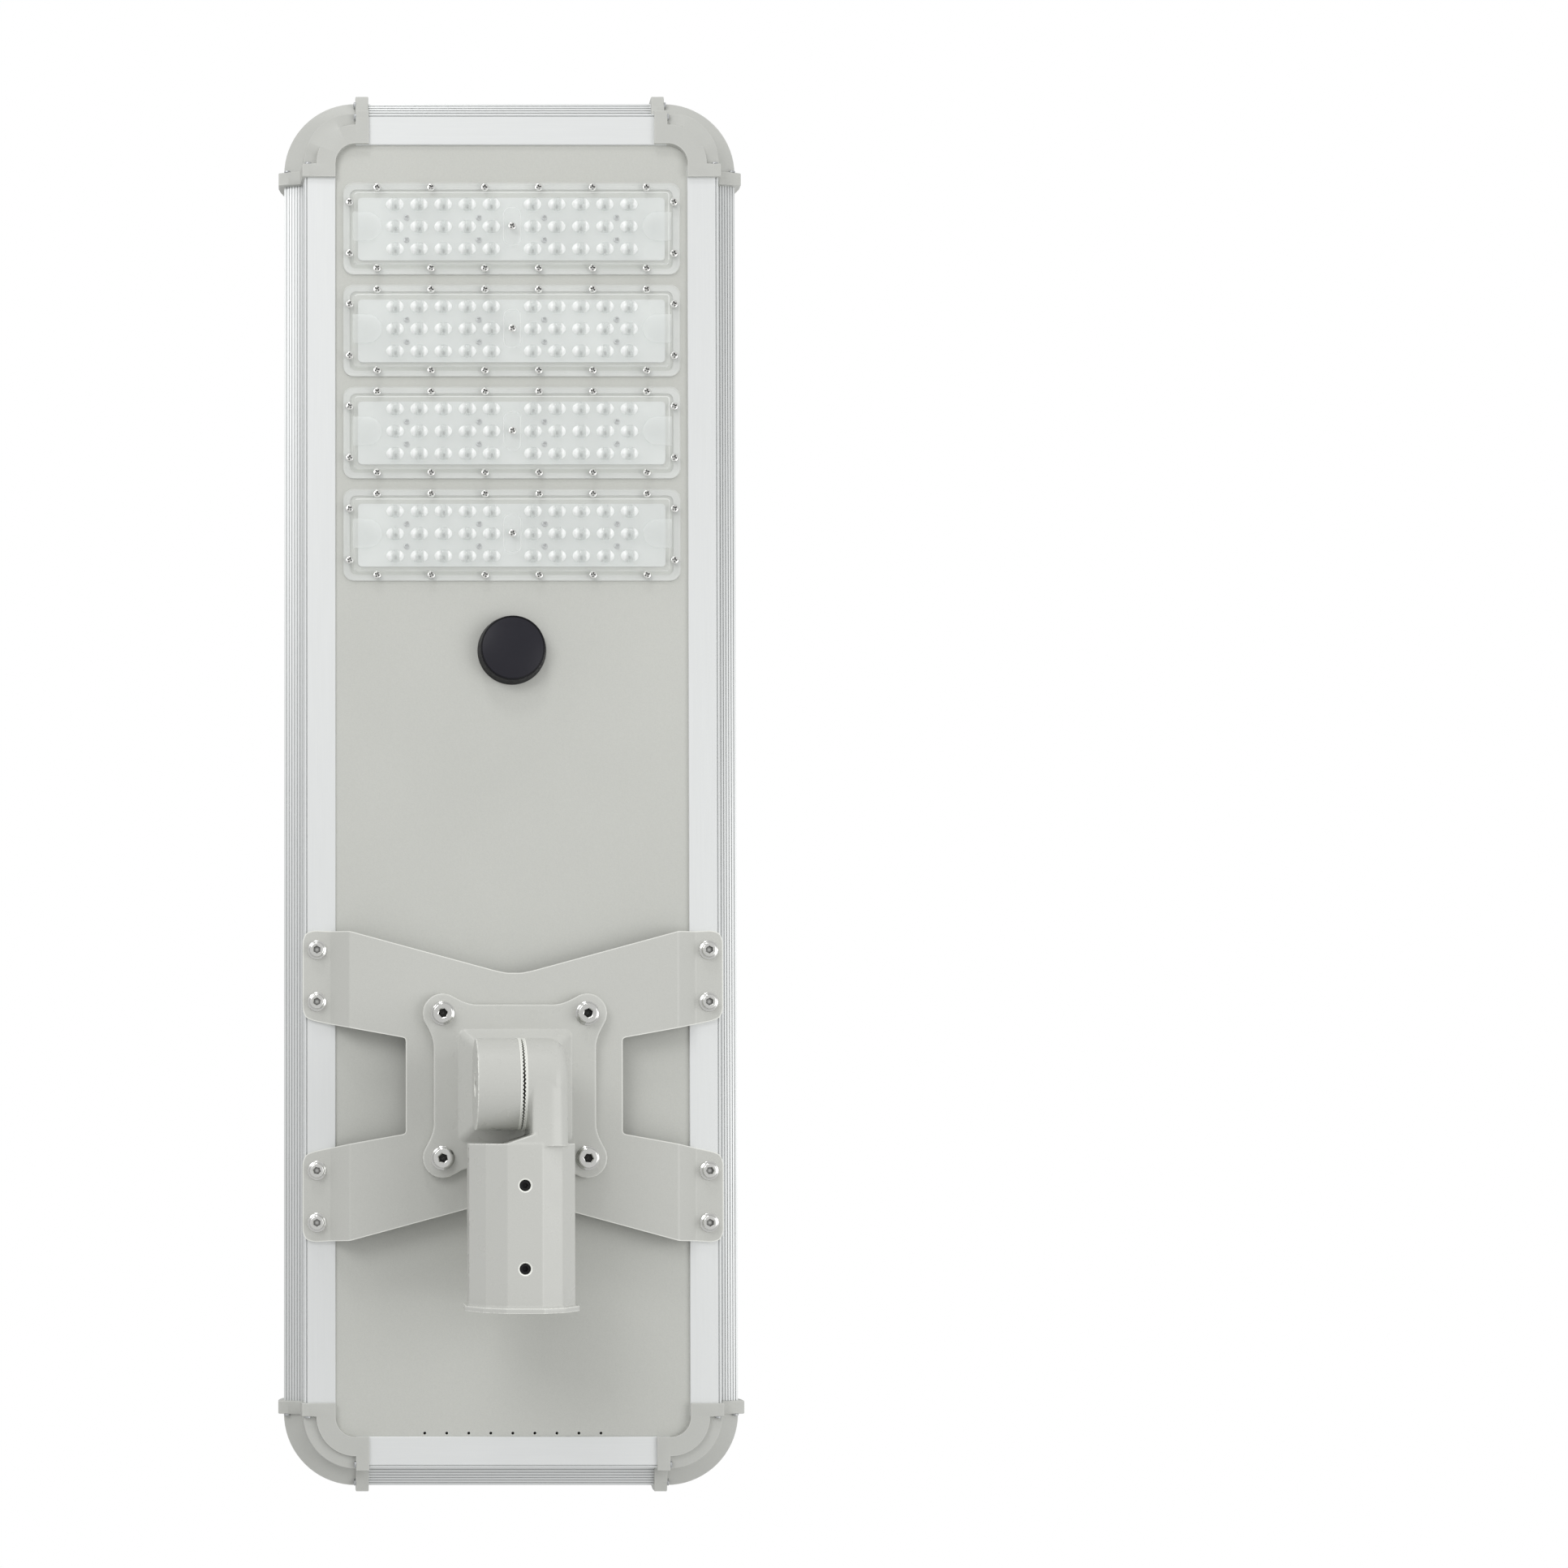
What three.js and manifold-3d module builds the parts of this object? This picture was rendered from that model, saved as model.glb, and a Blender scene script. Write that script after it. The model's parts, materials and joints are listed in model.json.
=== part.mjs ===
// An all-in-one solar street lamp: a framed solar panel with four LED modules, a motion sensor,
// battery and controller in one flat head, carried on a toothed tilt bracket with a pole socket.
//
// Units are millimetres and +Z is up. The origin is the centre of the flat wall inside the socket
// that the pole's end meets. The pole leaves along -Y, and the lamp's front end points to +Y.

import * as THREE from 'three';
import { mergeVertices } from 'three/addons/utils/BufferGeometryUtils.js';
import Module from 'manifold-3d';

const wasm = await Module();
wasm.setup();

// ---------------------------------------------------------------- driving dimensions

// Head, over the outer faces of the rails. In the rail section, u runs inwards and z up,
// and z is 0 on the underside of the head.
const HEAD_WIDTH = 362;
const HEAD_LENGTH = 1108;
const LIP_INNER_U = 41;
const LIP_THICK = 2;
const SLOPE_FOOT = [16.8, 0];
const SIDE_LOW = [0, 18];
const SIDE_HIGH = [0, 24];
const SLOPE_HEAD = [15, 54.5];
const SLOPE_BULGE = 3;
const RAIL_TOP_Z = 55;
const TOP_LIP_U = 21;
const SLOT_U = 18.3;
const LEDGE_U = 25;
const LEDGE_Z = 47.4;
const LEDGE_OUTER_U = 11;
const SLOT_TOP_Z = 53.2;
const LOWER_GROOVES_U = [16.5, 13, 9.8, 6.5, 3.3, 0.9];
const UPPER_GROOVES_U = [8, 9.7, 11.4, 13.1];
const GROOVE_WIDTH = 1.1;
const GROOVE_DEPTH = 0.8;

// Corner castings.
const CORNER_R = 57;
const COLLAR_LENGTH = 10.5;
const COLLAR_PROUD = 4.5;
const COLLAR_FOOT_Z = -2.5;
const CHANNEL_U = 26;
const CHANNEL_Z = 1.2;
const GLASS_OPENING_R = 48;
const GAP = 0.3;

// Solar laminate, from the seal up.
const SEAL_Z = [47.5, 48.5];
const BACKSHEET_Z = [48.6, 49.1];
const CELLS_Z = [49.2, 49.6];
const GLASS_Z = [49.7, 52.9];
const PANEL_EDGE_U = 18.8;
const PANEL_R = 50;
const CELL_FIELD_WIDTH = 314.6;
const CELL_FIELD_Y = [-532, 535];
const CELL_PITCH = 157;
const FIRST_JOINT_Y = -466;
const JOINT_COUNT = 7;
const DIAMOND_HALF = 10.7;
const NOTCH_DEPTH = 7;
const FIELD_CHAMFER = 36.5;

// Base plate, inside the rails' lower lips.
const BASE_EDGE_U = 33;
const BASE_Z = [2.05, 3.55];
const VENT_COUNT = 9;
const VENT_PITCH = 17.4;
const VENT_R = 1.2;
const VENT_Y = -510.5;

// LED modules.
const MODULE_COUNT = 4;
const MODULE_PITCH = 81.5;
const FIRST_MODULE_Y = 445.5;
const MODULE_SIZE = [268, 73];
const MODULE_R = 8;
const PLATEAU_SIZE = [257, 63.6];
const BOARD_SIZE = [244, 50];
const BOARD_Z = [0.35, 1.95];
const GASKET_Z = [0.95, 1.95];
const LENS_FLANGE_Z = [-1.5, 0.85];
const LENS_TOP_Z = -5;
const WIRE_HOLE_X = 108;
const WIRE_HOLE_R = 4;
const LENS_WALL = 2;

// Motion sensor.
const SENSOR_Y = 109.5;
const SENSOR_R = 27.3;
const SENSOR_Z = -9;
const STEM_R = 8;
const STEM_TOP_Z = 16;
const SENSOR_NUT = { r: 14, height: 5 };

// Battery and electronics, behind the base plate.
const BATTERY_SIZE = [128, 330];
const BATTERY_TOP_Z = 39.5;
const BATTERY_X = 70;
const BATTERY_Y = -225;
const STRAP_Y = [-130, -320];
const STRAP_HALF_WIDTH = 12.5;
const CONTROLLER_HALF = [75, 45];
const CONTROLLER_Y = 240;
const FIN_PITCH = 12;
const JUNCTION_SIZE = [64, 92];
const JUNCTION_DEPTH = 16;
const JUNCTION_Y = 400;

// Bracket plate and tilt joint. Heights here are above the pivot axis.
const PIVOT_Y = 54;
const PIVOT_TO_HEAD_CENTRE = 236.5;
const LIP_Z = 72;
const SHEET = 3;
const BRACKET_FACE_Z = 56;
const FLANGE_X = [144.5, 166];
const SHOULDER_X = 129;
const RAIL_BOLT_X = 154.7;
const RAIL_BOLT_Y = [66.6, 107.6];
const EAR = 56.5;
const EAR_R = 15.6;
const BASE_FOOT_HALF = 63.5;
const FOOT_THICK = 7;
const FRUSTUM_HALF = [45, 32];
const FRUSTUM_HEIGHT = 11;
const BARREL_R = 35;
const BARREL_END = 35;
const TOOTH_COUNT = 72;
const TOOTH_HEIGHT = 1.2;
const TOOTH_RING = [22, 34];
const TOOTH_FACE_X = 1.6;
const BOLT_R = 5;
const BOLT_HOLE_R = 5.4;
const EAR_HOLE_R = 4.4;
const RAIL_HOLE_R = 3.4;
const COUNTERBORE = { r: 10, x: -21.5 };
const NUT_POCKET = { r: 10.3, x: 24.8 };

// Pole socket.
const SOCKET_R = 42;
const SOCKET_Y = [-45, -171];
const SOCKET_BORE_R = 34;
const SOCKET_FACET_DEG = [18, 43, 72];
const RIM_PROUD = 3.3;
const RIM_LENGTH = 4;
const SET_SCREW_Y = [-76, -138];
const SET_SCREW_R = 4;
const SET_SCREW_LENGTH = 8;
const SET_SCREW_RECESS = 2.5;

const HEAD_Y = PIVOT_Y + PIVOT_TO_HEAD_CENTRE;

// ---------------------------------------------------------------- materials

const material = (color, roughness, metalness, extra = {}) =>
  new THREE.MeshStandardMaterial({ color, roughness, metalness, ...extra });

const anodised = material(0xdfe2e2, 0.32, 0.85);
const paintedCasting = material(0xbfc1bb, 0.5, 0.1);
const paintedSheet = material(0xbcbfb9, 0.55, 0.1);
const steel = material(0xc8c8c6, 0.2, 1.0);
const blackSteel = material(0x2a2a2c, 0.4, 0.9);
const glass = material(0xffffff, 0.05, 0.0, { transparent: true, opacity: 0.3 });
const clearPlastic = material(0xf2f6f5, 0.1, 0.0, { transparent: true, opacity: 0.4 });
const silicon = material(0x050507, 0.25, 0.0);
const whiteFilm = material(0xf6f7f6, 0.5, 0.0);
const boardWhite = material(0xeef0ee, 0.5, 0.0);
const rubber = material(0xb8bab6, 0.8, 0.0);
const blackPlastic = material(0x1d1d21, 0.45, 0.0);
const batteryWrap = material(0x2b5fa8, 0.45, 0.0);
const castAluminium = material(0xb4b6b8, 0.45, 0.8);
const cableJacket = material(0x18181a, 0.6, 0.0);

// ---------------------------------------------------------------- geometry helpers

// A closed geometry as a manifold-3d solid.
function toSolid(geometry) {
  const bare = geometry.index ? geometry.toNonIndexed() : geometry.clone();
  bare.deleteAttribute('normal');
  bare.deleteAttribute('uv');
  const merged = mergeVertices(bare, 1e-4);
  return new wasm.Manifold(
    new wasm.Mesh({
      numProp: 3,
      vertProperties: merged.attributes.position.array,
      triVerts: new Uint32Array(merged.index.array),
    }),
  );
}

// A manifold-3d solid as a geometry.
function toGeometry(solid) {
  const mesh = solid.getMesh();
  const geometry = new THREE.BufferGeometry();
  geometry.setAttribute('position', new THREE.BufferAttribute(mesh.vertProperties, 3));
  geometry.setIndex(new THREE.BufferAttribute(mesh.triVerts, 1));
  geometry.computeVertexNormals();
  return geometry;
}

const joined = (solids) => solids.reduce((a, b) => a.add(b));

const cutBy = (solid, tools) => tools.reduce((a, b) => a.subtract(b), solid);

const shapeOf = (points) => new THREE.Shape(points.map(([x, y]) => new THREE.Vector2(x, y)));

// A shape extruded from z0 to z1.
function slab(shape, [z0, z1], curveSegments = 4) {
  const geometry = new THREE.ExtrudeGeometry(shape, {
    depth: z1 - z0,
    bevelEnabled: false,
    curveSegments,
  });
  return geometry.translate(0, 0, z0);
}

// A section given as [x, z] points, extruded along Y from y0 to y1.
function alongY(points, [y0, y1]) {
  return slab(shapeOf(points), [-y1, -y0]).rotateX(Math.PI / 2);
}

// A box between two corners.
function block([x0, y0, z0], [x1, y1, z1]) {
  return new THREE.BoxGeometry(x1 - x0, y1 - y0, z1 - z0).translate(
    (x0 + x1) / 2,
    (y0 + y1) / 2,
    (z0 + z1) / 2,
  );
}

function roundedRect(width, length, r, Kind = THREE.Shape) {
  const x = width / 2;
  const y = length / 2;
  const shape = new Kind();
  shape.absarc(x - r, y - r, r, 0, Math.PI / 2);
  shape.absarc(-x + r, y - r, r, Math.PI / 2, Math.PI);
  shape.absarc(-x + r, -y + r, r, Math.PI, 1.5 * Math.PI);
  shape.absarc(x - r, -y + r, r, 1.5 * Math.PI, 2 * Math.PI);
  return shape;
}

function roundHole(shape, x, y, r) {
  shape.holes.push(new THREE.Path().absarc(x, y, r, 0, 2 * Math.PI, true));
}

// A solid of revolution about Z from [radius, z] points that start and end on the axis or on
// the same point.
function turned(points, segments) {
  const outline = points.map(([r, z]) => new THREE.Vector2(r, z));
  const turn = THREE.ShapeUtils.area(outline) > 0 ? outline : outline.reverse();
  return new THREE.LatheGeometry(turn, segments).rotateX(Math.PI / 2);
}

// A cylinder along Z from z0 to z1.
const rod = (r, [z0, z1], segments = 16) =>
  new THREE.CylinderGeometry(r, r, z1 - z0, segments)
    .rotateX(Math.PI / 2)
    .translate(0, 0, (z0 + z1) / 2);

// A geometry built along Z, laid along X instead.
const laidAlongX = (geometry) => geometry.rotateY(Math.PI / 2);

// A point on the line from a to b, bowed to its left by up to bulge.
function bowed(a, b, bulge, t) {
  const du = b[0] - a[0];
  const dz = b[1] - a[1];
  const out = (4 * bulge * t * (1 - t)) / Math.hypot(du, dz);
  return [a[0] + du * t - dz * out, a[1] + dz * t + du * out];
}

// The same line as points from a to b, both included.
const bowedLine = (a, b, bulge, steps) =>
  Array.from({ length: steps + 1 }, (_, i) => bowed(a, b, bulge, i / steps));

// A bowed line with V grooves at the given u positions.
function groovedLine(a, b, bulge, groovesU) {
  const length = Math.hypot(b[0] - a[0], b[1] - a[1]);
  const half = GROOVE_WIDTH / 2 / length;
  const inward = [(b[1] - a[1]) / length, -(b[0] - a[0]) / length];
  return groovesU.flatMap((u) => {
    const t = (u - a[0]) / (b[0] - a[0]);
    const middle = bowed(a, b, bulge, t);
    return [
      bowed(a, b, bulge, t - half),
      [middle[0] + inward[0] * GROOVE_DEPTH, middle[1] + inward[1] * GROOVE_DEPTH],
      bowed(a, b, bulge, t + half),
    ];
  });
}

// ---------------------------------------------------------------- rails and corners

// The hollow rail section: lower lip, grooved side, top lip, glass slot and ledge.
function railSection() {
  const upperSlope = [0.2, 0.4].map((t) => bowed(SIDE_HIGH, SLOPE_HEAD, SLOPE_BULGE, t));
  return [
    [LIP_INNER_U, 0],
    [SLOPE_FOOT[0] + 0.6, 0],
    ...groovedLine(SLOPE_FOOT, SIDE_LOW, SLOPE_BULGE, LOWER_GROOVES_U),
    SIDE_LOW,
    SIDE_HIGH,
    ...upperSlope,
    ...groovedLine(SIDE_HIGH, SLOPE_HEAD, SLOPE_BULGE, UPPER_GROOVES_U),
    SLOPE_HEAD,
    [SLOPE_HEAD[0] + 0.5, RAIL_TOP_Z],
    [TOP_LIP_U, RAIL_TOP_Z],
    [TOP_LIP_U, SLOT_TOP_Z],
    [SLOT_U, SLOT_TOP_Z],
    [SLOT_U, LEDGE_Z],
    [LEDGE_U, LEDGE_Z],
    [LEDGE_U, LEDGE_Z - 2],
    ...bowedLine([10.4, LEDGE_Z - 2], [2.4, 23.5], -1, 2),
    ...bowedLine([2.4, 18.5], [18.2, LIP_THICK], -2.4, 3),
    [LIP_INNER_U, LIP_THICK],
  ];
}

const rail = (length) => alongY(railSection(), [-length / 2, length / 2]);

// A side rail as seen from its outer face, with clearance holes for the four bracket screws.
function sideRail(sign) {
  const bracketY = sign * (PIVOT_Y - HEAD_Y);
  const u = HEAD_WIDTH / 2 - RAIL_BOLT_X;
  const holes = RAIL_BOLT_Y.flatMap((y) => [-y, y]).map((y) =>
    toSolid(rod(RAIL_HOLE_R, [-5, 5], 10).translate(u, bracketY + y, 0)),
  );
  return toGeometry(cutBy(toSolid(rail(HEAD_LENGTH - 2 * CORNER_R - 2 * GAP)), holes));
}

// The curved body of a corner as a [radius, z] section, between its two collars.
function cornerSection() {
  const wall = 2.6;
  const section = [
    [LIP_INNER_U, COLLAR_FOOT_Z],
    [CHANNEL_U, COLLAR_FOOT_Z],
    [CHANNEL_U, CHANNEL_Z],
    ...bowedLine([15.6, CHANNEL_Z], SIDE_LOW, SLOPE_BULGE - 0.1, 3),
    ...bowedLine(SIDE_HIGH, SLOPE_HEAD, SLOPE_BULGE, 3),
    [SLOPE_HEAD[0], RAIL_TOP_Z],
    [SLOPE_HEAD[0] + 5, RAIL_TOP_Z],
    [SLOPE_HEAD[0] + 5, SLOT_TOP_Z - 1],
    ...bowedLine([17.5, SLOT_TOP_Z - 1.2], [wall, 24], -2.6, 2),
    ...bowedLine([wall, 18.3], [16.5, CHANNEL_Z + wall], -2.6, 2),
    [CHANNEL_U + 2.5, CHANNEL_Z + wall],
    [CHANNEL_U + 4, LIP_THICK - 0.1],
    [LIP_INNER_U, LIP_THICK - 0.1],
    [LIP_INNER_U, COLLAR_FOOT_Z],
  ];
  return section.map(([u, z]) => [CORNER_R - u, z]);
}

// The collar that wraps a rail's end, as [u, z] points. It clears the rail by GAP.
function collarSection() {
  const outer = COLLAR_PROUD;
  const top = RAIL_TOP_Z + GAP + 2;
  return [
    [LIP_INNER_U, COLLAR_FOOT_Z],
    ...bowedLine([14.8, COLLAR_FOOT_Z], [-outer, SIDE_LOW[1] - 2], SLOPE_BULGE, 3),
    ...bowedLine([-outer, SIDE_HIGH[1] + 1], [12.5, top], SLOPE_BULGE, 3),
    [TOP_LIP_U, top],
    [TOP_LIP_U, RAIL_TOP_Z + GAP],
    ...bowedLine([14.6, RAIL_TOP_Z + GAP], [-0.4, SIDE_HIGH[1]], -SLOPE_BULGE, 4),
    ...bowedLine([-0.4, SIDE_LOW[1] - 0.1], [16.4, -GAP], -SLOPE_BULGE, 4),
    [LIP_INNER_U, -GAP],
  ];
}

// The plan of a corner's glass lip or ledge, with the corner's arc centre at the origin.
function glassLipPlan(outerU, openingR) {
  const outerR = CORNER_R - outerU;
  const centre = TOP_LIP_U + GLASS_OPENING_R - CORNER_R;
  const shape = new THREE.Shape();
  shape.absarc(0, 0, outerR, Math.PI * 0.99, Math.PI * 1.51);
  shape.absarc(centre, centre, openingR, 1.5 * Math.PI, Math.PI, true);
  return shape;
}

function corner() {
  const reach = CORNER_R + COLLAR_PROUD + 5;
  const quadrant = toSolid(block([-reach, -reach, -10], [0, 0, 70]));
  const body = joined([
    toSolid(turned(cornerSection(), 28)),
    toSolid(slab(glassLipPlan(SLOPE_HEAD[0] + 2, GLASS_OPENING_R), [SLOT_TOP_Z, RAIL_TOP_Z], 4)),
    toSolid(slab(glassLipPlan(LEDGE_OUTER_U, GLASS_OPENING_R - 3), [LEDGE_Z - 3, LEDGE_Z], 4)),
  ]).intersect(quadrant);
  const section = collarSection().map(([u, z]) => [u - CORNER_R, z]);
  const collar = toSolid(alongY(section, [-1.5, COLLAR_LENGTH]));
  const pocketWidth = HEAD_WIDTH - 2 * (PANEL_EDGE_U - GAP);
  const pocketLength = HEAD_LENGTH - 2 * (PANEL_EDGE_U - GAP);
  const pocket = slab(
    roundedRect(pocketWidth, pocketLength, PANEL_R + GAP),
    [LEDGE_Z, SLOT_TOP_Z],
    6,
  ).translate(HEAD_WIDTH / 2 - CORNER_R, HEAD_LENGTH / 2 - CORNER_R, 0);
  const whole = joined([body, collar, collar.mirror([1, -1, 0])]);
  return toGeometry(cutBy(whole, [toSolid(pocket)]));
}

// ---------------------------------------------------------------- solar panel

const panelWidth = HEAD_WIDTH - 2 * PANEL_EDGE_U;
const panelLength = HEAD_LENGTH - 2 * PANEL_EDGE_U;

const panelSheet = (z) => slab(roundedRect(panelWidth, panelLength, PANEL_R), z);

function panelSeal() {
  const inset = 0.6;
  const band = 4;
  const outline = roundedRect(panelWidth - inset, panelLength - inset, PANEL_R);
  const inner = [panelWidth - 2 * band, panelLength - 2 * band, PANEL_R - band];
  outline.holes.push(roundedRect(...inner, THREE.Path));
  return slab(outline, SEAL_Z);
}

// The joined cells: a chamfered field with a notch at each edge, and a diamond opening
// wherever four cut cell corners meet.
function cellField() {
  const x = CELL_FIELD_WIDTH / 2;
  const [yLow, yHigh] = CELL_FIELD_Y;
  const joints = Array.from({ length: JOINT_COUNT }, (_, i) => FIRST_JOINT_Y + CELL_PITCH * i);
  const side = (sign, list) =>
    list.flatMap((y) => [
      [sign * x, y - sign * NOTCH_DEPTH],
      [sign * (x - NOTCH_DEPTH), y],
      [sign * x, y + sign * NOTCH_DEPTH],
    ]);
  const field = shapeOf([
    [x - FIELD_CHAMFER, yLow],
    [x, yLow + FIELD_CHAMFER],
    ...side(1, joints),
    [x, yHigh - FIELD_CHAMFER],
    [x - FIELD_CHAMFER, yHigh],
    [-x + FIELD_CHAMFER, yHigh],
    [-x, yHigh - FIELD_CHAMFER],
    ...side(-1, [...joints].reverse()),
    [-x, yLow + FIELD_CHAMFER],
    [-x + FIELD_CHAMFER, yLow],
  ]);
  for (const y of joints) {
    const diamond = [
      [0, y - DIAMOND_HALF],
      [-DIAMOND_HALF, y],
      [0, y + DIAMOND_HALF],
      [DIAMOND_HALF, y],
    ];
    field.holes.push(new THREE.Path(diamond.map(([px, py]) => new THREE.Vector2(px, py))));
  }
  return slab(field, CELLS_Z);
}

function junctionBox() {
  const top = BACKSHEET_Z[0] - 0.2;
  return slab(roundedRect(...JUNCTION_SIZE, 5), [top - JUNCTION_DEPTH, top]);
}

// ---------------------------------------------------------------- base plate and LED modules

const moduleY = (i) => FIRST_MODULE_Y - MODULE_PITCH * i;

function basePlate() {
  const width = HEAD_WIDTH - 2 * BASE_EDGE_U;
  const length = HEAD_LENGTH - 2 * BASE_EDGE_U;
  const plate = roundedRect(width, length, CORNER_R - BASE_EDGE_U);
  roundHole(plate, 0, SENSOR_Y, STEM_R + 1);
  for (let i = 0; i < MODULE_COUNT; i += 1) {
    roundHole(plate, -WIRE_HOLE_X, moduleY(i), WIRE_HOLE_R);
    roundHole(plate, WIRE_HOLE_X, moduleY(i), WIRE_HOLE_R);
  }
  for (let i = 0; i < VENT_COUNT; i += 1) {
    roundHole(plate, (i - (VENT_COUNT - 1) / 2) * VENT_PITCH, VENT_Y, VENT_R);
  }
  return slab(plate, BASE_Z);
}

const ledBoard = () => slab(roundedRect(...BOARD_SIZE, 3), BOARD_Z, 2);

function lensGasket() {
  const ring = roundedRect(MODULE_SIZE[0] - 1, MODULE_SIZE[1] - 1, MODULE_R);
  ring.holes.push(roundedRect(PLATEAU_SIZE[0], PLATEAU_SIZE[1], 5, THREE.Path));
  return slab(ring, GASKET_Z, 2);
}

// A clear cover: a screwed flange round a raised plateau, hollow over the board.
function lensCover() {
  const [width, depth] = PLATEAU_SIZE;
  const hollow = 1;
  const flange = slab(roundedRect(...MODULE_SIZE, MODULE_R), LENS_FLANGE_Z, 2);
  const plateau = slab(
    roundedRect(width - LENS_WALL, depth - LENS_WALL, 4),
    [LENS_TOP_Z, LENS_FLANGE_Z[0] + 1],
    2,
  );
  const inside = slab(
    roundedRect(width - 3 * LENS_WALL + hollow, depth - 3 * LENS_WALL + hollow, 3),
    [LENS_TOP_Z + LENS_WALL, LENS_FLANGE_Z[1] + 1],
    2,
  );
  return toGeometry(cutBy(toSolid(flange).add(toSolid(plateau)), [toSolid(inside)]));
}

// ---------------------------------------------------------------- motion sensor

function sensorCap() {
  const seat = BASE_Z[0] - 0.1;
  return turned(
    [
      [0, SENSOR_Z],
      [SENSOR_R - 2.6, SENSOR_Z],
      [SENSOR_R - 1.6, SENSOR_Z + 1],
      [SENSOR_R, seat],
      [STEM_R, seat],
      [STEM_R, STEM_TOP_Z],
      [0, STEM_TOP_Z],
    ],
    32,
  );
}

function sensorNut() {
  const foot = BASE_Z[1] + 0.1;
  const nut = toSolid(rod(SENSOR_NUT.r, [foot, foot + SENSOR_NUT.height], 6));
  return toGeometry(cutBy(nut, [toSolid(rod(STEM_R + GAP, [0, 20], 16))]));
}

const sensorBoard = () => rod(20, [STEM_TOP_Z + GAP, STEM_TOP_Z + GAP + 1.6], 16);

// ---------------------------------------------------------------- battery and electronics

const batteryPack = () => slab(roundedRect(...BATTERY_SIZE, 6), [BASE_Z[1] + GAP, BATTERY_TOP_Z], 2);

// A strap that holds both battery packs down onto the base plate.
function batteryStrap() {
  const t = 1.5;
  const top = BATTERY_TOP_Z + 0.5;
  const foot = BASE_Z[1] + 0.2;
  const inner = BATTERY_X + BATTERY_SIZE[0] / 2 + 6;
  const outer = inner + 7;
  const right = [
    [inner + t, top + t],
    [inner + t, foot + t],
    [outer, foot + t],
    [outer, foot],
    [inner, foot],
    [inner, top],
  ];
  const left = right.map(([x, z]) => [-x, z]).reverse();
  return alongY([...right, ...left], [-STRAP_HALF_WIDTH, STRAP_HALF_WIDTH]);
}

// A die-cast controller case with cooling fins.
function controller() {
  const [x, y] = CONTROLLER_HALF;
  const top = 26;
  const finX = x - 6;
  const body = toSolid(block([-x, -y, BASE_Z[1] + GAP], [x, y, top]));
  const fins = [-2.5, -1.5, -0.5, 0.5, 1.5, 2.5].map((i) => {
    const middle = i * FIN_PITCH;
    return toSolid(block([-finX, middle - 1.5, top - 1], [finX, middle + 1.5, top + 6]));
  });
  return toGeometry(joined([body, ...fins]));
}

// A round cable through the given points.
function cable(points, r) {
  const path = new THREE.CatmullRomCurve3(points.map((p) => new THREE.Vector3(...p)));
  const round = shapeOf(
    Array.from({ length: 6 }, (_, i) => [
      r * Math.cos((i * Math.PI) / 3),
      r * Math.sin((i * Math.PI) / 3),
    ]),
  );
  return new THREE.ExtrudeGeometry(round, {
    steps: 5 * (points.length - 1),
    bevelEnabled: false,
    extrudePath: path,
  });
}

// ---------------------------------------------------------------- bracket and tilt base

// A quarter outline mirrored into all four quadrants, anticlockwise from the +X axis.
function fourfold(quarter) {
  const back = [...quarter].reverse();
  return [
    ...quarter,
    ...back.map(([x, y]) => [-x, y]),
    ...quarter.map(([x, y]) => [-x, -y]),
    ...back.map(([x, y]) => [x, -y]),
  ];
}

// The bow-tie sheet: four arms that step down to flanges bolted under the rails.
function bracketPlate() {
  const lower = BRACKET_FACE_Z;
  const flange = LIP_Z - SHEET - 0.1;
  const right = [
    [FLANGE_X[1], flange],
    [FLANGE_X[0], flange],
    [SHOULDER_X, lower],
  ];
  const upper = [
    [SHOULDER_X - 1, lower + SHEET],
    [FLANGE_X[0] - 1, flange + SHEET],
    [FLANGE_X[1], flange + SHEET],
  ];
  const mirrored = (list) => list.map(([x, z]) => [-x, z]).reverse();
  const folded = alongY([...upper, ...right, ...mirrored(right), ...mirrored(upper)], [-130, 130]);
  const notch = [85, 37.5];
  const outline = shapeOf(
    fourfold([
      notch,
      [SHOULDER_X, 45.5],
      [157, 51.5],
      [163.5, 54],
      [FLANGE_X[1], 60],
      [FLANGE_X[1], 115],
      [163.5, 121],
      [157, 123],
      [SHOULDER_X, 121.5],
      [15, 90.5],
      [6, 88.6],
    ]),
  );
  for (const sx of [-1, 1]) {
    for (const sy of [-1, 1]) {
      for (const y of RAIL_BOLT_Y) {
        roundHole(outline, sx * RAIL_BOLT_X, sy * y, RAIL_HOLE_R);
      }
      roundHole(outline, sx * EAR, sy * EAR, EAR_HOLE_R);
    }
  }
  const plan = slab(outline, [lower - 5, LIP_Z + 5]);
  return toGeometry(toSolid(folded).intersect(toSolid(plan)));
}

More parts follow.
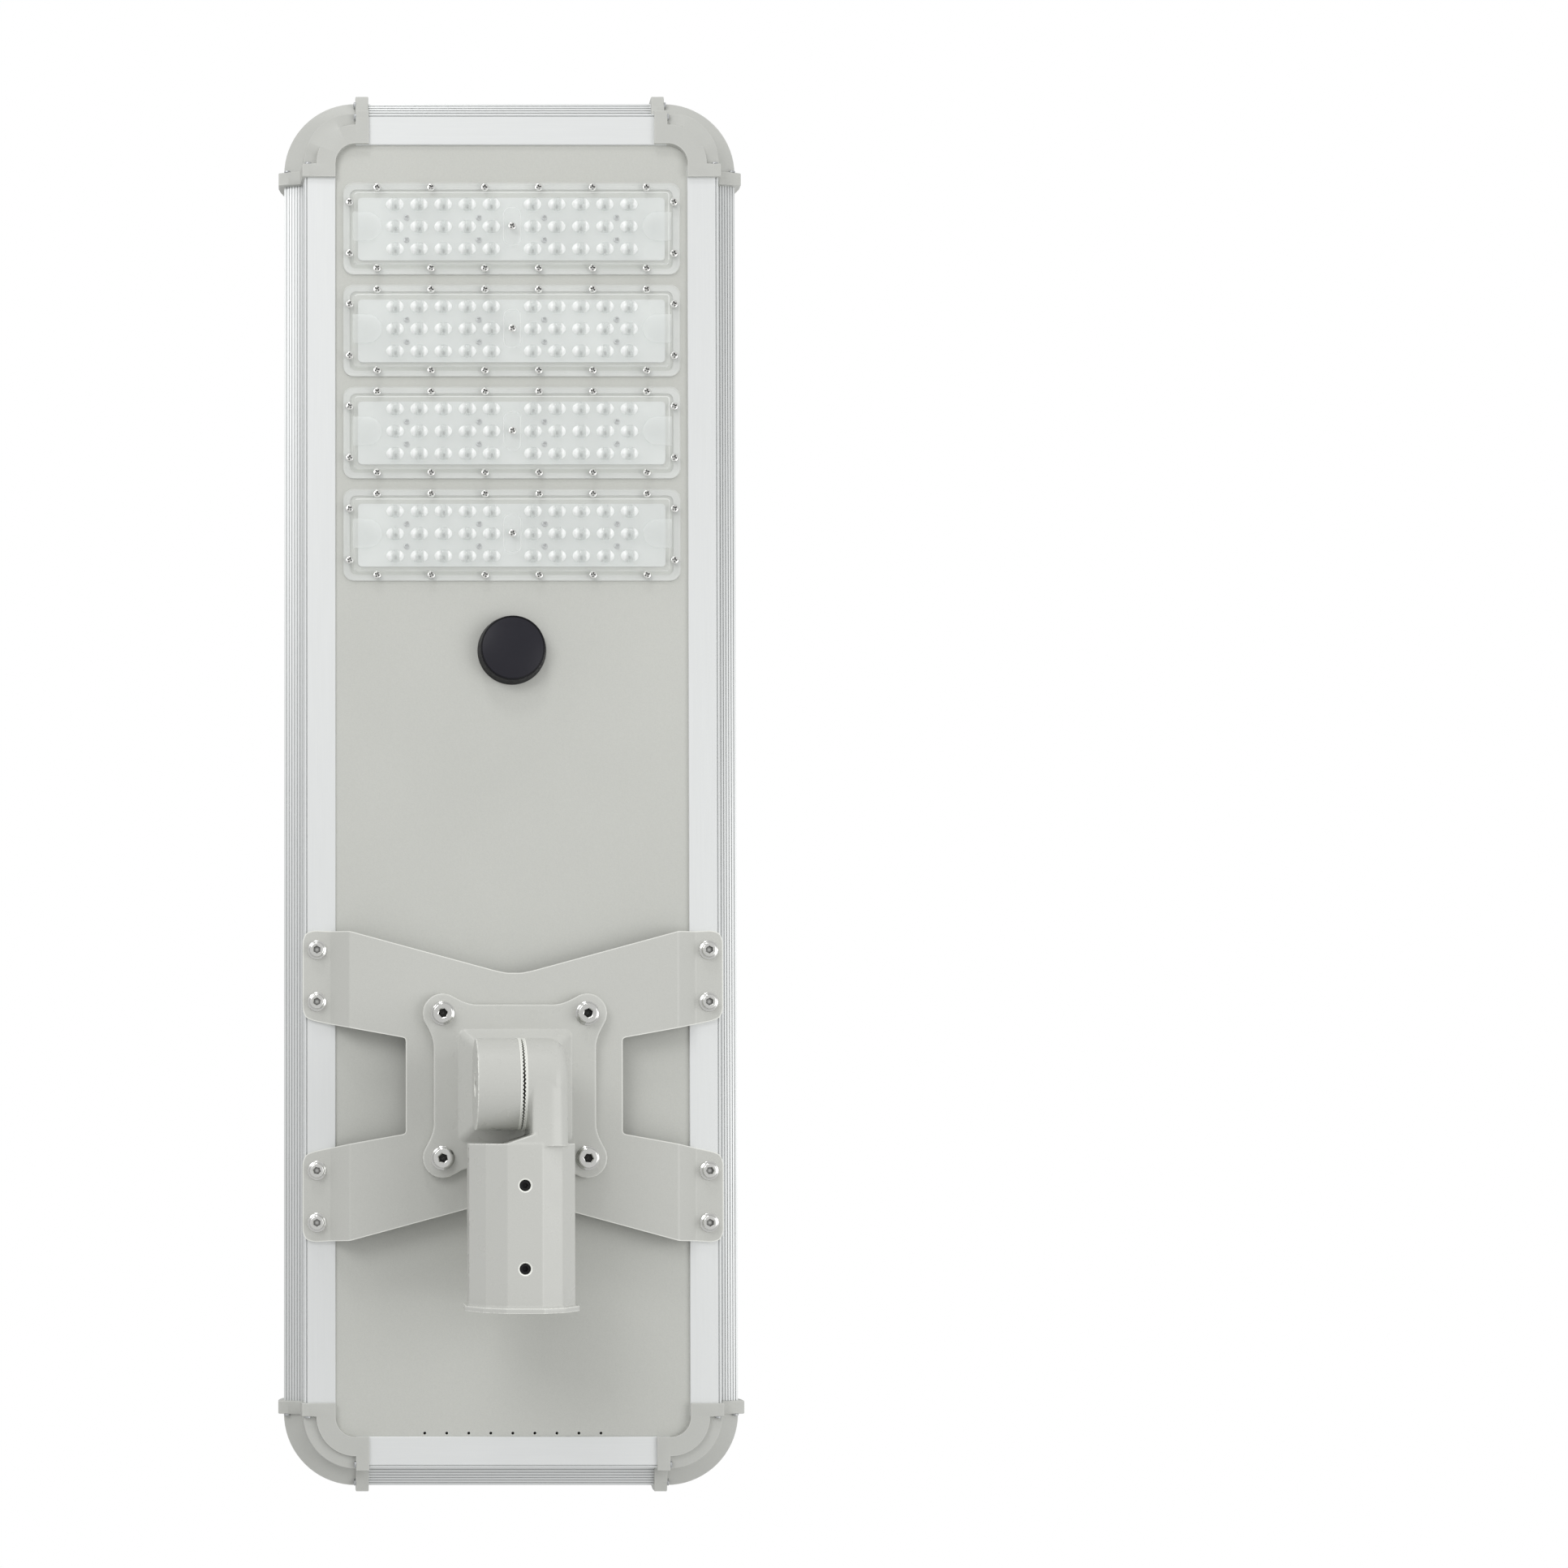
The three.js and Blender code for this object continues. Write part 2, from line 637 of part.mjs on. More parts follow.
// The four-eared foot of the tilt base, seen in plan.
function footPlan() {
  const shape = new THREE.Shape();
  const leave = (31 * Math.PI) / 180;
  const tipX = EAR + EAR_R * Math.cos(Math.PI / 2 + leave);
  const tipY = EAR + EAR_R * Math.sin(Math.PI / 2 + leave);
  const controlX = tipX - (tipY - BASE_FOOT_HALF) / Math.tan(leave);
  for (let q = 0; q < 4; q += 1) {
    const turn = (q * Math.PI) / 2;
    const at = (x, y) => [
      x * Math.cos(turn) - y * Math.sin(turn),
      x * Math.sin(turn) + y * Math.cos(turn),
    ];
    const [cx, cy] = at(EAR, EAR);
    const start = at(BASE_FOOT_HALF, 30);
    if (q === 0) shape.moveTo(...start);
    else shape.lineTo(...start);
    shape.quadraticCurveTo(...at(BASE_FOOT_HALF, controlX), ...at(tipY, tipX));
    shape.absarc(cx, cy, EAR_R, turn - leave, turn + Math.PI / 2 + leave);
    shape.quadraticCurveTo(...at(controlX, BASE_FOOT_HALF), ...at(30, BASE_FOOT_HALF));
  }
  return shape;
}

// A ring of radial teeth that stands up from z = 0, with a crest every turn / TOOTH_COUNT.
function toothRing(phase) {
  const [r0, r1] = TOOTH_RING;
  const valley = 0.15;
  const buried = -1;
  const count = 2 * TOOTH_COUNT;
  const corner = (i, r, z) => {
    const angle = ((i + phase) * Math.PI) / TOOTH_COUNT;
    return [r * Math.cos(angle), r * Math.sin(angle), z];
  };
  const triangles = [];
  for (let i = 0; i < count; i += 1) {
    const a = i % 2 === 0 ? TOOTH_HEIGHT : valley;
    const b = i % 2 === 0 ? valley : TOOTH_HEIGHT;
    const quads = [
      [corner(i, r0, a), corner(i, r1, a), corner(i + 1, r1, b), corner(i + 1, r0, b)],
      [corner(i, r1, a), corner(i, r1, buried), corner(i + 1, r1, buried), corner(i + 1, r1, b)],
      [corner(i + 1, r0, b), corner(i + 1, r0, buried), corner(i, r0, buried), corner(i, r0, a)],
      [
        corner(i, r0, buried),
        corner(i + 1, r0, buried),
        corner(i + 1, r1, buried),
        corner(i, r1, buried),
      ],
    ];
    for (const [p, q, r, s] of quads) triangles.push(...p, ...q, ...r, ...p, ...r, ...s);
  }
  const geometry = new THREE.BufferGeometry();
  geometry.setAttribute('position', new THREE.Float32BufferAttribute(triangles, 3));
  return geometry;
}

// The cast tilt base: foot, raised block, and the fixed half of the toothed barrel.
function tiltBase() {
  const footZ = [BRACKET_FACE_Z - 0.2 - FOOT_THICK, BRACKET_FACE_Z - 0.2];
  const frustum = new THREE.CylinderGeometry(
    FRUSTUM_HALF[0] * Math.SQRT2,
    FRUSTUM_HALF[1] * Math.SQRT2,
    FRUSTUM_HEIGHT + 1,
    4,
    1,
  )
    .rotateY(Math.PI / 4)
    .rotateX(Math.PI / 2)
    .translate(0, 0, footZ[0] - FRUSTUM_HEIGHT / 2 + 0.5);
  const barrel = laidAlongX(rod(BARREL_R, [TOOTH_FACE_X, BARREL_END], 40));
  const cheek = block([TOOTH_FACE_X, -31, 5], [BARREL_END - 2, 31, footZ[0] - FRUSTUM_HEIGHT + 2]);
  const teeth = laidAlongX(toothRing(0).rotateX(Math.PI)).translate(TOOTH_FACE_X, 0, 0);
  const cast = joined([
    toSolid(slab(footPlan(), footZ)),
    toSolid(frustum),
    toSolid(barrel),
    toSolid(cheek),
    toSolid(teeth),
  ]);
  const earHoles = [-EAR, EAR].flatMap((x) =>
    [-EAR, EAR].map((y) => toSolid(rod(EAR_HOLE_R, [40, 60], 12).translate(x, y, 0))),
  );
  const boltHole = toSolid(laidAlongX(rod(BOLT_HOLE_R, [-1, 40], 16)));
  const nutPocket = toSolid(laidAlongX(rod(NUT_POCKET.r, [NUT_POCKET.x, 40], 6)));
  return toGeometry(cutBy(cast, [...earHoles, boltHole, nutPocket]));
}

// ---------------------------------------------------------------- arm and pole socket

// The socket's faceted outline, as [x, z] points about the pole's axis.
function socketOutline(r) {
  const lower = SOCKET_FACET_DEG.map((deg) => (deg * Math.PI) / 180);
  const quarter = lower.map((a) => [r * Math.sin(a), r * Math.cos(a)]).reverse();
  return fourfold(quarter);
}

// The cast arm: the moving half of the toothed barrel, a neck, and the socket.
function tiltArm() {
  const round = 12;
  const edge = Array.from({ length: 4 }, (_, i) => {
    const angle = (i * Math.PI) / 6;
    return [BARREL_R - round * (1 - Math.cos(angle)), -BARREL_END + 1.5 + round * (1 - Math.sin(angle))];
  }).reverse();
  const barrelProfile = [
    [0, -BARREL_END + 1.5],
    ...edge,
    [BARREL_R, -TOOTH_FACE_X],
    [0, -TOOTH_FACE_X],
  ];
  const barrel = laidAlongX(turned(barrelProfile, 40));
  const teeth = laidAlongX(toothRing(1)).translate(-TOOTH_FACE_X, 0, 0);
  const neckX = [-BARREL_END + 1.5, -5.5];
  const neckBack = 29;
  const chamfer = 9;
  const neck = alongY(
    [
      [neckX[1], -BARREL_R],
      [neckX[1], neckBack],
      [neckX[0] + chamfer, neckBack],
      [neckX[0], neckBack - chamfer],
      [neckX[0], -BARREL_R + chamfer],
      [neckX[0] + chamfer, -BARREL_R],
    ],
    [SOCKET_Y[0] - 1, 0],
  );
  const webX = [neckX[1] - 2, 14];
  const webRise = 8;
  const webZ = [-40, 24];
  const web = slab(
    shapeOf([
      [webX[1], SOCKET_Y[0] - 1],
      [webX[1], SOCKET_Y[0]],
      [webX[0], SOCKET_Y[0] + webRise],
      [webX[0], SOCKET_Y[0] - 1],
    ]),
    webZ,
  );
  const socket = alongY(socketOutline(SOCKET_R), [SOCKET_Y[1], SOCKET_Y[0]]);
  const rim = alongY(socketOutline(SOCKET_R + RIM_PROUD), [SOCKET_Y[1], SOCKET_Y[1] + RIM_LENGTH]);
  const cast = joined([barrel, teeth, neck, web, socket, rim].map(toSolid));
  const bore = rod(SOCKET_BORE_R, [PIVOT_Y, 200], 40).rotateX(Math.PI / 2);
  const screwHoles = SET_SCREW_Y.map((y) => rod(SET_SCREW_R + GAP, [-60, -20], 16).translate(0, y, 0));
  const boltHole = laidAlongX(rod(BOLT_HOLE_R, [-40, 1], 16));
  const counterbore = laidAlongX(rod(COUNTERBORE.r, [-40, COUNTERBORE.x], 24));
  const tools = [bore, ...screwHoles, boltHole, counterbore];
  return toGeometry(cutBy(cast, tools.map(toSolid)));
}

// ---------------------------------------------------------------- fasteners

// A flanged socket-head screw: its flange rests on z = 0, its shank points up.
function flangedScrew({ shankR, length, headR, flangeR, headHeight, keyR }) {
  const profile = [
    [0, -headHeight],
    [headR - 0.8, -headHeight],
    [headR, -headHeight + 0.8],
    [headR, -1.4],
    [flangeR, -1.2],
    [flangeR, 0],
    [shankR, 0],
    [shankR, length],
    [0, length],
  ];
  const key = rod(keyR, [-headHeight - 1, -headHeight * 0.4], 6);
  return toGeometry(cutBy(toSolid(turned(profile, 10)), [toSolid(key)]));
}

const railScrew = () =>
  flangedScrew({ shankR: 3, length: 12, headR: 5, flangeR: 6.5, headHeight: 5.6, keyR: 2.9 });

const earScrew = () =>
  flangedScrew({ shankR: 4, length: 16, headR: 6.5, flangeR: 8, headHeight: 7, keyR: 3.5 });

// The bar inside a rail that the four screws of one side thread into.
function nutBar() {
  const bar = toSolid(block([-5, -120, LIP_THICK + 0.2], [6, 120, LIP_THICK + 3.2]));
  const holes = RAIL_BOLT_Y.flatMap((y) => [-y, y]).map((y) =>
    toSolid(rod(3.3, [0, 10], 10).translate(0, y, 0)),
  );
  return toGeometry(cutBy(bar, holes));
}

// The pivot bolt along X, its head at -X.
function pivotBolt() {
  const headR = 8;
  const seat = COUNTERBORE.x - 2.1;
  const top = seat - 9.6;
  const end = NUT_POCKET.x + 8.2;
  const profile = [
    [0, top],
    [headR - 0.8, top],
    [headR, top + 0.8],
    [headR, seat],
    [BOLT_R, seat],
    [BOLT_R, end],
    [0, end],
  ];
  const key = rod(4.6, [top - 1, top + 5], 6);
  return laidAlongX(toGeometry(cutBy(toSolid(turned(profile, 16)), [toSolid(key)])));
}

function pivotWasher() {
  const disc = toSolid(rod(9.4, [COUNTERBORE.x - 1.9, COUNTERBORE.x - 0.2], 20));
  return laidAlongX(toGeometry(cutBy(disc, [toSolid(rod(BOLT_R + GAP, [-30, 0], 16))])));
}

function pivotNut() {
  const seat = NUT_POCKET.x + 0.2;
  const nut = toSolid(rod(NUT_POCKET.r - 0.5, [seat, seat + 8.4], 6));
  return laidAlongX(toGeometry(cutBy(nut, [toSolid(rod(BOLT_R + 0.15, [0, 40], 16))])));
}

// A socket set screw, its tip towards the pole.
function setScrew() {
  const outer = -SOCKET_R * Math.cos((SOCKET_FACET_DEG[0] * Math.PI) / 180) + SET_SCREW_RECESS;
  const tip = outer + SET_SCREW_LENGTH;
  const profile = [
    [0, outer],
    [SET_SCREW_R - 0.4, outer],
    [SET_SCREW_R, outer + 0.4],
    [SET_SCREW_R, tip - 1],
    [SET_SCREW_R - 1, tip],
    [0, tip],
  ];
  const key = rod(2.3, [outer - 1, outer + 4], 6);
  return toGeometry(cutBy(toSolid(turned(profile, 16)), [toSolid(key)]));
}

// ---------------------------------------------------------------- assembly

function add(group, name, geometry, look, position = [0, 0, 0], turnZ = 0) {
  const mesh = new THREE.Mesh(geometry, look);
  mesh.name = name;
  mesh.position.set(...position);
  mesh.rotation.z = turnZ;
  group.add(mesh);
}

const lamp = new THREE.Group();
const head = new THREE.Group();
head.position.set(0, HEAD_Y, LIP_Z);
const tilt = new THREE.Group();
tilt.position.set(0, PIVOT_Y, 0);
lamp.add(head, tilt);

// Frame.
const halfW = HEAD_WIDTH / 2;
const halfL = HEAD_LENGTH / 2;
const endRail = rail(HEAD_WIDTH - 2 * CORNER_R - 2 * GAP);
add(head, 'rail_left', sideRail(1), anodised, [-halfW, 0, 0]);
add(head, 'rail_right', sideRail(-1), anodised, [halfW, 0, 0], Math.PI);
add(head, 'rail_front', endRail, anodised, [0, halfL, 0], -Math.PI / 2);
add(head, 'rail_rear', endRail, anodised, [0, -halfL, 0], Math.PI / 2);
const cornerPiece = corner();
const cx = halfW - CORNER_R;
const cy = halfL - CORNER_R;
add(head, 'corner_rear_left', cornerPiece, paintedCasting, [-cx, -cy, 0]);
add(head, 'corner_rear_right', cornerPiece, paintedCasting, [cx, -cy, 0], Math.PI / 2);
add(head, 'corner_front_right', cornerPiece, paintedCasting, [cx, cy, 0], Math.PI);
add(head, 'corner_front_left', cornerPiece, paintedCasting, [-cx, cy, 0], -Math.PI / 2);

// Solar panel.
add(head, 'solar_glass', panelSheet(GLASS_Z), glass);
add(head, 'solar_cells', cellField(), silicon);
add(head, 'solar_backsheet', panelSheet(BACKSHEET_Z), whiteFilm);
add(head, 'panel_seal', panelSeal(), rubber);
add(head, 'junction_box', junctionBox(), blackPlastic, [0, JUNCTION_Y, 0]);

// Base plate and LED modules.
add(head, 'base_plate', basePlate(), paintedSheet);
for (let i = 0; i < MODULE_COUNT; i += 1) {
  const at = [0, moduleY(i), 0];
  add(head, `led_board_${i + 1}`, ledBoard(), boardWhite, at);
  add(head, `lens_gasket_${i + 1}`, lensGasket(), rubber, at);
  add(head, `lens_cover_${i + 1}`, lensCover(), clearPlastic, at);
}

// Motion sensor.
add(head, 'sensor_cap', sensorCap(), blackPlastic, [0, SENSOR_Y, 0]);
add(head, 'sensor_nut', sensorNut(), blackPlastic, [0, SENSOR_Y, 0]);
add(head, 'sensor_board', sensorBoard(), boardWhite, [0, SENSOR_Y, 0]);

// Battery and electronics.
add(head, 'battery_pack_left', batteryPack(), batteryWrap, [-BATTERY_X, BATTERY_Y, 0]);
add(head, 'battery_pack_right', batteryPack(), batteryWrap, [BATTERY_X, BATTERY_Y, 0]);
add(head, 'battery_strap_front', batteryStrap(), castAluminium, [0, STRAP_Y[0], 0]);
add(head, 'battery_strap_rear', batteryStrap(), castAluminium, [0, STRAP_Y[1], 0]);
add(head, 'charge_controller', controller(), castAluminium, [0, CONTROLLER_Y, 0]);
const panelLead = [
  [30, 353, 41],
  [34, 330, 41],
  [50, 310, 28],
  [50, 292, 16],
  [50, 286.5, 14],
];
const ledLead = [
  [-WIRE_HOLE_X, FIRST_MODULE_Y, 6.5],
  [-112, 414, 7],
  [-112, 340, 7],
  [-106, 260, 8],
  [-86, 240, 12],
  [-76, 240, 12],
];
const sensorLead = [
  [0, SENSOR_Y, 20.4],
  [4, 125, 25],
  [20, 160, 20],
  [26, 186, 13],
  [26, 194, 13],
];
add(head, 'panel_cable', cable(panelLead, 2.6), cableJacket);
add(head, 'led_cable', cable(ledLead, 2.6), cableJacket);
add(head, 'sensor_cable', cable(sensorLead, 2), cableJacket);

// Bracket: the sheet, its eight rail screws, and the two nut bars inside the rails.
add(tilt, 'bracket_plate', bracketPlate(), paintedSheet);
for (const [side, sx] of [['left', -1], ['right', 1]]) {
  const rowsY = [...RAIL_BOLT_Y].reverse().concat(RAIL_BOLT_Y.map((y) => -y));
  rowsY.forEach((y, i) => {
    const at = [sx * RAIL_BOLT_X, y, LIP_Z - SHEET - 0.2];
    add(tilt, `rail_screw_${side}_${i + 1}`, railScrew(), steel, at);
  });
  add(tilt, `nut_bar_${side}`, nutBar(), steel, [sx * RAIL_BOLT_X, 0, LIP_Z]);
}

// Tilt base and its four screws.
add(tilt, 'tilt_base', tiltBase(), paintedCasting);
const earZ = BRACKET_FACE_Z - FOOT_THICK - 0.3;
for (const [end, sy] of [['front', 1], ['rear', -1]]) {
  for (const [side, sx] of [['left', -1], ['right', 1]]) {
    add(tilt, `base_screw_${end}_${side}`, earScrew(), steel, [sx * EAR, sy * EAR, earZ]);
  }
}
add(tilt, 'pivot_bolt', pivotBolt(), steel);
add(tilt, 'pivot_washer', pivotWasher(), steel);
add(tilt, 'pivot_nut', pivotNut(), steel);

// Arm with its pole socket and two set screws.
add(tilt, 'tilt_arm', tiltArm(), paintedCasting);
add(tilt, 'set_screw_inner', setScrew(), blackSteel, [0, SET_SCREW_Y[0], 0]);
add(tilt, 'set_screw_outer', setScrew(), blackSteel, [0, SET_SCREW_Y[1], 0]);

export default lamp;
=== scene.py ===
"""An all-in-one solar street lamp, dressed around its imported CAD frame.

Lengths are millimetres until a mesh is made, then metres. The head's own frame has its origin on
the underside at the middle of the head; in a rail's section u runs inwards and z up.
"""

import json
import math
import random

import bmesh
import bpy
from mathutils import Matrix, Vector


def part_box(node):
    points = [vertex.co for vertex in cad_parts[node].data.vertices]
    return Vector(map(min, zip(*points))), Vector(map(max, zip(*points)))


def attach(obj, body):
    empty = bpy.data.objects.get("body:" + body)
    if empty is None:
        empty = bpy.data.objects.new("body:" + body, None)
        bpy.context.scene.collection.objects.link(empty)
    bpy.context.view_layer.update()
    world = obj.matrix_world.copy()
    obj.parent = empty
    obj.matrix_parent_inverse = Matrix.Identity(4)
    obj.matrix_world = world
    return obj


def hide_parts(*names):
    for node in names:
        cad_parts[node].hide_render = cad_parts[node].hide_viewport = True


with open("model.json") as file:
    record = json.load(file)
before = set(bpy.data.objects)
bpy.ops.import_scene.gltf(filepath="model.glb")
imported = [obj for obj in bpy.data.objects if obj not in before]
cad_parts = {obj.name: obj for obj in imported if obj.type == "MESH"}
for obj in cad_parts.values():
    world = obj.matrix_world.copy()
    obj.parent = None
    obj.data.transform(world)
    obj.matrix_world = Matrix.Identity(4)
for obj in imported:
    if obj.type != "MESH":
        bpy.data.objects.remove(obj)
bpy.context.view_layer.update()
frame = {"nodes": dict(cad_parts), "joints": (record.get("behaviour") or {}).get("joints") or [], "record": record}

MM = 0.001
BEVEL_WIDTH = 0.5
CAST_VOXEL = 0.75
# Reach of the edge factor: rubbed edges and a painted highlight on them.
EDGE_WEAR_AND_HIGHLIGHT_REACH = 1.1
chance = random.Random(11)


def box_mm(node):
    low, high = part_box(node)
    return low / MM, high / MM


def at(x, y, z):
    return Matrix.Translation((x, y, z))


# ---- places, from the frame

side_low, side_high = box_mm("rail_left")
front_low, front_high = box_mm("rail_front")
HALF_WIDTH = -side_low.x
HEAD_Y = (side_low.y + side_high.y) / 2
LIP_Z = side_low.z
HALF_LENGTH = front_high.y - HEAD_Y
SIDE_RAIL_LENGTH = side_high.y - side_low.y
END_RAIL_LENGTH = front_high.x - front_low.x
HEAD = at(0, HEAD_Y, LIP_Z)
PIVOT_Y = frame["joints"][0]["pos_m"][1] / MM
PIVOT = at(0, PIVOT_Y, 0)
HEAD_BODY = "lamp_head"
ARM_BODY = "pole_arm"

# ---- sizes of the finer shapes

LIP_INNER_U = 41
LIP_THICK = 2
STEP_FOOT = (16.9, 0)
BAND_START = (14.6, 16.4)
SIDE_LOW = (0, 19.6)
SIDE_HIGH = (0, 24)
BAND_BULGE = 0.7
SLOPE_HEAD = (15, 54.5)
SLOPE_BULGE = 3
RAIL_TOP_Z = 55
TOP_LIP_U = 21
SLOT_U = 18.3
LEDGE_U = 25
LEDGE_Z = 47.4
SLOT_TOP_Z = 53.2
LOWER_GROOVES_U = (12.9, 10.75, 8.6, 6.45, 4.3, 2.15)
UPPER_GROOVES_U = (8, 9.7, 11.4, 13.1)
GROOVE_WIDTH = 0.8
GROOVE_DEPTH = 0.6
RIDGE_U = (17.6, 18.6)
RIDGE_DEPTH = 0.9

CORNER_R = 57
COLLAR_LENGTH = 10.5
CHANNEL_FADE_DEG = 22
FRONT_FILL = 0.93
REAR_FILL = 0.1
GLASS_OPENING_R = 48

EAR = 56.5
EAR_R = 15.6
FOOT_HALF = 63.5
FOOT_Z = (48.8, 55.8)
FRUSTUM_HALF = (45, 32.5)
FRUSTUM_TOP_Z = 37.8
BARREL_R = 35
BARREL_END = 34.5
BARREL_ROUND = 13
BOLT_HOLE_R = 5.4
TOOTH_COUNT = 72
TOOTH_RING = (24, 35.2)
TOOTH_HEIGHT = 1.2
TOOTH_FACE_X = 1.6
SOCKET_R = 42
SOCKET_Y = (-45, -171)
BORE_R = 34
FACET_DEG = (18, 43, 72)
RIM_PROUD = 3.3
RIM_LENGTH = 4
SET_SCREW_Y = (-76, -138)
FACET_Z = -SOCKET_R * math.cos(math.radians(FACET_DEG[0]))

FLANGE_X = (144.5, 166)
SHOULDER_X = 129
SHEET = 3
BEND = 1.1
BRACKET_Z = 56
RAIL_BOLT_X = 154.7
RAIL_BOLT_Y = (107.6, 66.6)
RAIL_HOLE_R = 3.4
EAR_HOLE_R = 4.4

MODULE_SIZE = (268, 73)
MODULE_R = 8
PLATEAU_SIZE = (257, 63.6)
LENS_COLUMNS = (16.4, 35.5, 54.6, 73.7, 92.8)
LENS_ROWS = (-17.8, 0, 17.8)
LENS_TOP_Z = -5
FLANGE_SCREWS = ((21.4, 32.2), (64.2, 32.2), (107, 32.2), (128.8, 20.5))
BOARD_SCREWS = ((26, 8.9), (83.5, 8.9))
PAD_X = (114.9, 126.4)
PAD_R = 11.5
PAD_BEVEL = 1.2

# ---- outlines and solids

# A solid here is a pair: a list of points and a list of faces that index them.


def bowed(a, b, bulge, t):
    """A point on the line from a to b, bowed to its left by up to bulge."""
    du = b[0] - a[0]
    dz = b[1] - a[1]
    out = 4 * bulge * t * (1 - t) / math.hypot(du, dz)
    return (a[0] + du * t - dz * out, a[1] + dz * t + du * out)


def bowed_line(a, b, bulge, steps):
    return [bowed(a, b, bulge, i / steps) for i in range(steps + 1)]


def arc(cx, cy, r, start_deg, end_deg, steps):
    """Points on an arc, both ends included."""
    turns = [math.radians(start_deg + (end_deg - start_deg) * i / steps) for i in range(steps + 1)]
    return [(cx + r * math.cos(a), cy + r * math.sin(a)) for a in turns]


def curve(a, control, b, steps):
    """Points on a quadratic curve from a to b, both included."""
    points = []
    for i in range(steps + 1):
        t = i / steps
        k = ((1 - t) ** 2, 2 * t * (1 - t), t * t)
        points.append(tuple(k[0] * a[j] + k[1] * control[j] + k[2] * b[j] for j in (0, 1)))
    return points


def softened(outline, radius, steps=3):
    """A closed outline with every corner rounded, each by no more than its neighbours allow."""
    points = []
    count = len(outline)
    for i, p in enumerate(outline):
        here = Vector(p)
        before = Vector(outline[i - 1]) - here
        after = Vector(outline[(i + 1) % count]) - here
        a = here + before.normalized() * min(radius, before.length * 0.45)
        b = here + after.normalized() * min(radius, after.length * 0.45)
        points += curve(a, here, b, steps)
    return points


def rounded_rect(width, length, r, steps=6):
    x = width / 2 - r
    y = length / 2 - r
    corners = ((x, y, 0), (-x, y, 90), (-x, -y, 180), (x, -y, 270))
    return [p for cx, cy, deg in corners for p in arc(cx, cy, r, deg, deg + 90, steps)]


def polygon(sides, r):
    turns = [2 * math.pi * i / sides for i in range(sides)]
    return [(r * math.cos(a), r * math.sin(a)) for a in turns]


def mirrored(x, y):
    """The four spots at minus and plus x and y."""
    return [(sx * x, sy * y) for sx in (-1, 1) for sy in (-1, 1)]


def fourfold(quarter):
    """A quarter outline mirrored into all four quadrants, anticlockwise from the +X axis."""
    back = quarter[::-1]
    whole = list(quarter)
    whole += [(-x, y) for x, y in back]
    whole += [(-x, -y) for x, y in quarter]
    whole += [(x, -y) for x, y in back]
    return whole


def loft(rings, closed=False):
    """Joins rings of equal length; a loft that isn't closed gets a face at each end."""
    size = len(rings[0])
    count = len(rings)
    points = [p for ring in rings for p in ring]
    faces = []
    for i in range(count if closed else count - 1):
        a = i * size
        b = (i + 1) % count * size
        faces += [(a + j, a + (j + 1) % size, b + (j + 1) % size, b + j) for j in range(size)]
    if not closed:
        faces.append(tuple(range(size))[::-1])
        faces.append(tuple(range((count - 1) * size, count * size)))
    return points, faces


def at_height(outline, z):
    return [(x, y, z) for x, y in outline]


def prism(outline, z0, z1):
    return loft([at_height(outline, z0), at_height(outline, z1)])


def rod(sides, r, z0, z1):
    return prism(polygon(sides, r), z0, z1)


def along_y(section, y0, y1):
    """A section of (x, z) points, extruded along Y."""
    return loft([[(x, y, z) for x, z in section] for y in (y0, y1)])


def turned(profile, segments):
    """A solid of revolution about Z from (radius, z) points that start and end on the axis."""
    rings = [at_height(polygon(segments, r), z) for r, z in profile[1:-1]]
    points, faces = loft(rings)
    faces = faces[:-2]
    last = len(points) - segments
    points += [(0, 0, profile[0][1]), (0, 0, profile[-1][1])]
    for j in range(segments):
        k = (j + 1) % segments
        faces.append((k, j, len(points) - 2))
        faces.append((last + j, last + k, len(points) - 1))
    return points, faces


def placed(solid, matrix):
    points, faces = solid
    return [tuple(matrix @ Vector(p)) for p in points], faces


def shifted(solid, x, y, z):
    return placed(solid, at(x, y, z))


def joined(solids):
    points = []
    faces = []
    for more_points, more_faces in solids:
        base = len(points)
        points += more_points
        faces += [tuple(i + base for i in face) for face in more_faces]
    return points, faces


def turn(degrees, axis="Z"):
    return Matrix.Rotation(math.radians(degrees), 4, axis)


ALONG_X = turn(90, "Y")


# ---- Blender objects


def new_object(name, solid):
    """A mesh object in metres from a solid in millimetres, its faces turned outwards."""
    points, faces = solid
    mesh = bpy.data.meshes.new(name)
    mesh.from_pydata([Vector(p) * MM for p in points], [], faces)
    bm = bmesh.new()
    bm.from_mesh(mesh)
    bmesh.ops.recalc_face_normals(bm, faces=bm.faces)
    bm.to_mesh(mesh)
    bm.free()
    obj = bpy.data.objects.new(name, mesh)
    bpy.context.scene.collection.objects.link(obj)
    return obj


def apply_modifiers(obj):
    bpy.context.view_layer.update()
    graph = bpy.context.evaluated_depsgraph_get()
    mesh = bpy.data.meshes.new_from_object(obj.evaluated_get(graph))
    obj.modifiers.clear()
    obj.data = mesh


def cut(obj, tools):
    """Cuts each tool solid out of obj."""
    for tool in tools:
        cutter = new_object("cutter", tool)
        modifier = obj.modifiers.new("cut", "BOOLEAN")
        modifier.operation = "DIFFERENCE"
        modifier.solver = "EXACT"
        modifier.object = cutter
        apply_modifiers(obj)
        bpy.data.objects.remove(cutter)


def bevel(obj, sharpest_deg):
    """Rounds off the edges that bend by more than sharpest_deg."""
    modifier = obj.modifiers.new("bevel", "BEVEL")
    modifier.width = BEVEL_WIDTH * MM
    modifier.segments = 2
    modifier.limit_method = "ANGLE"
    modifier.angle_limit = math.radians(sharpest_deg)
    modifier.harden_normals = True


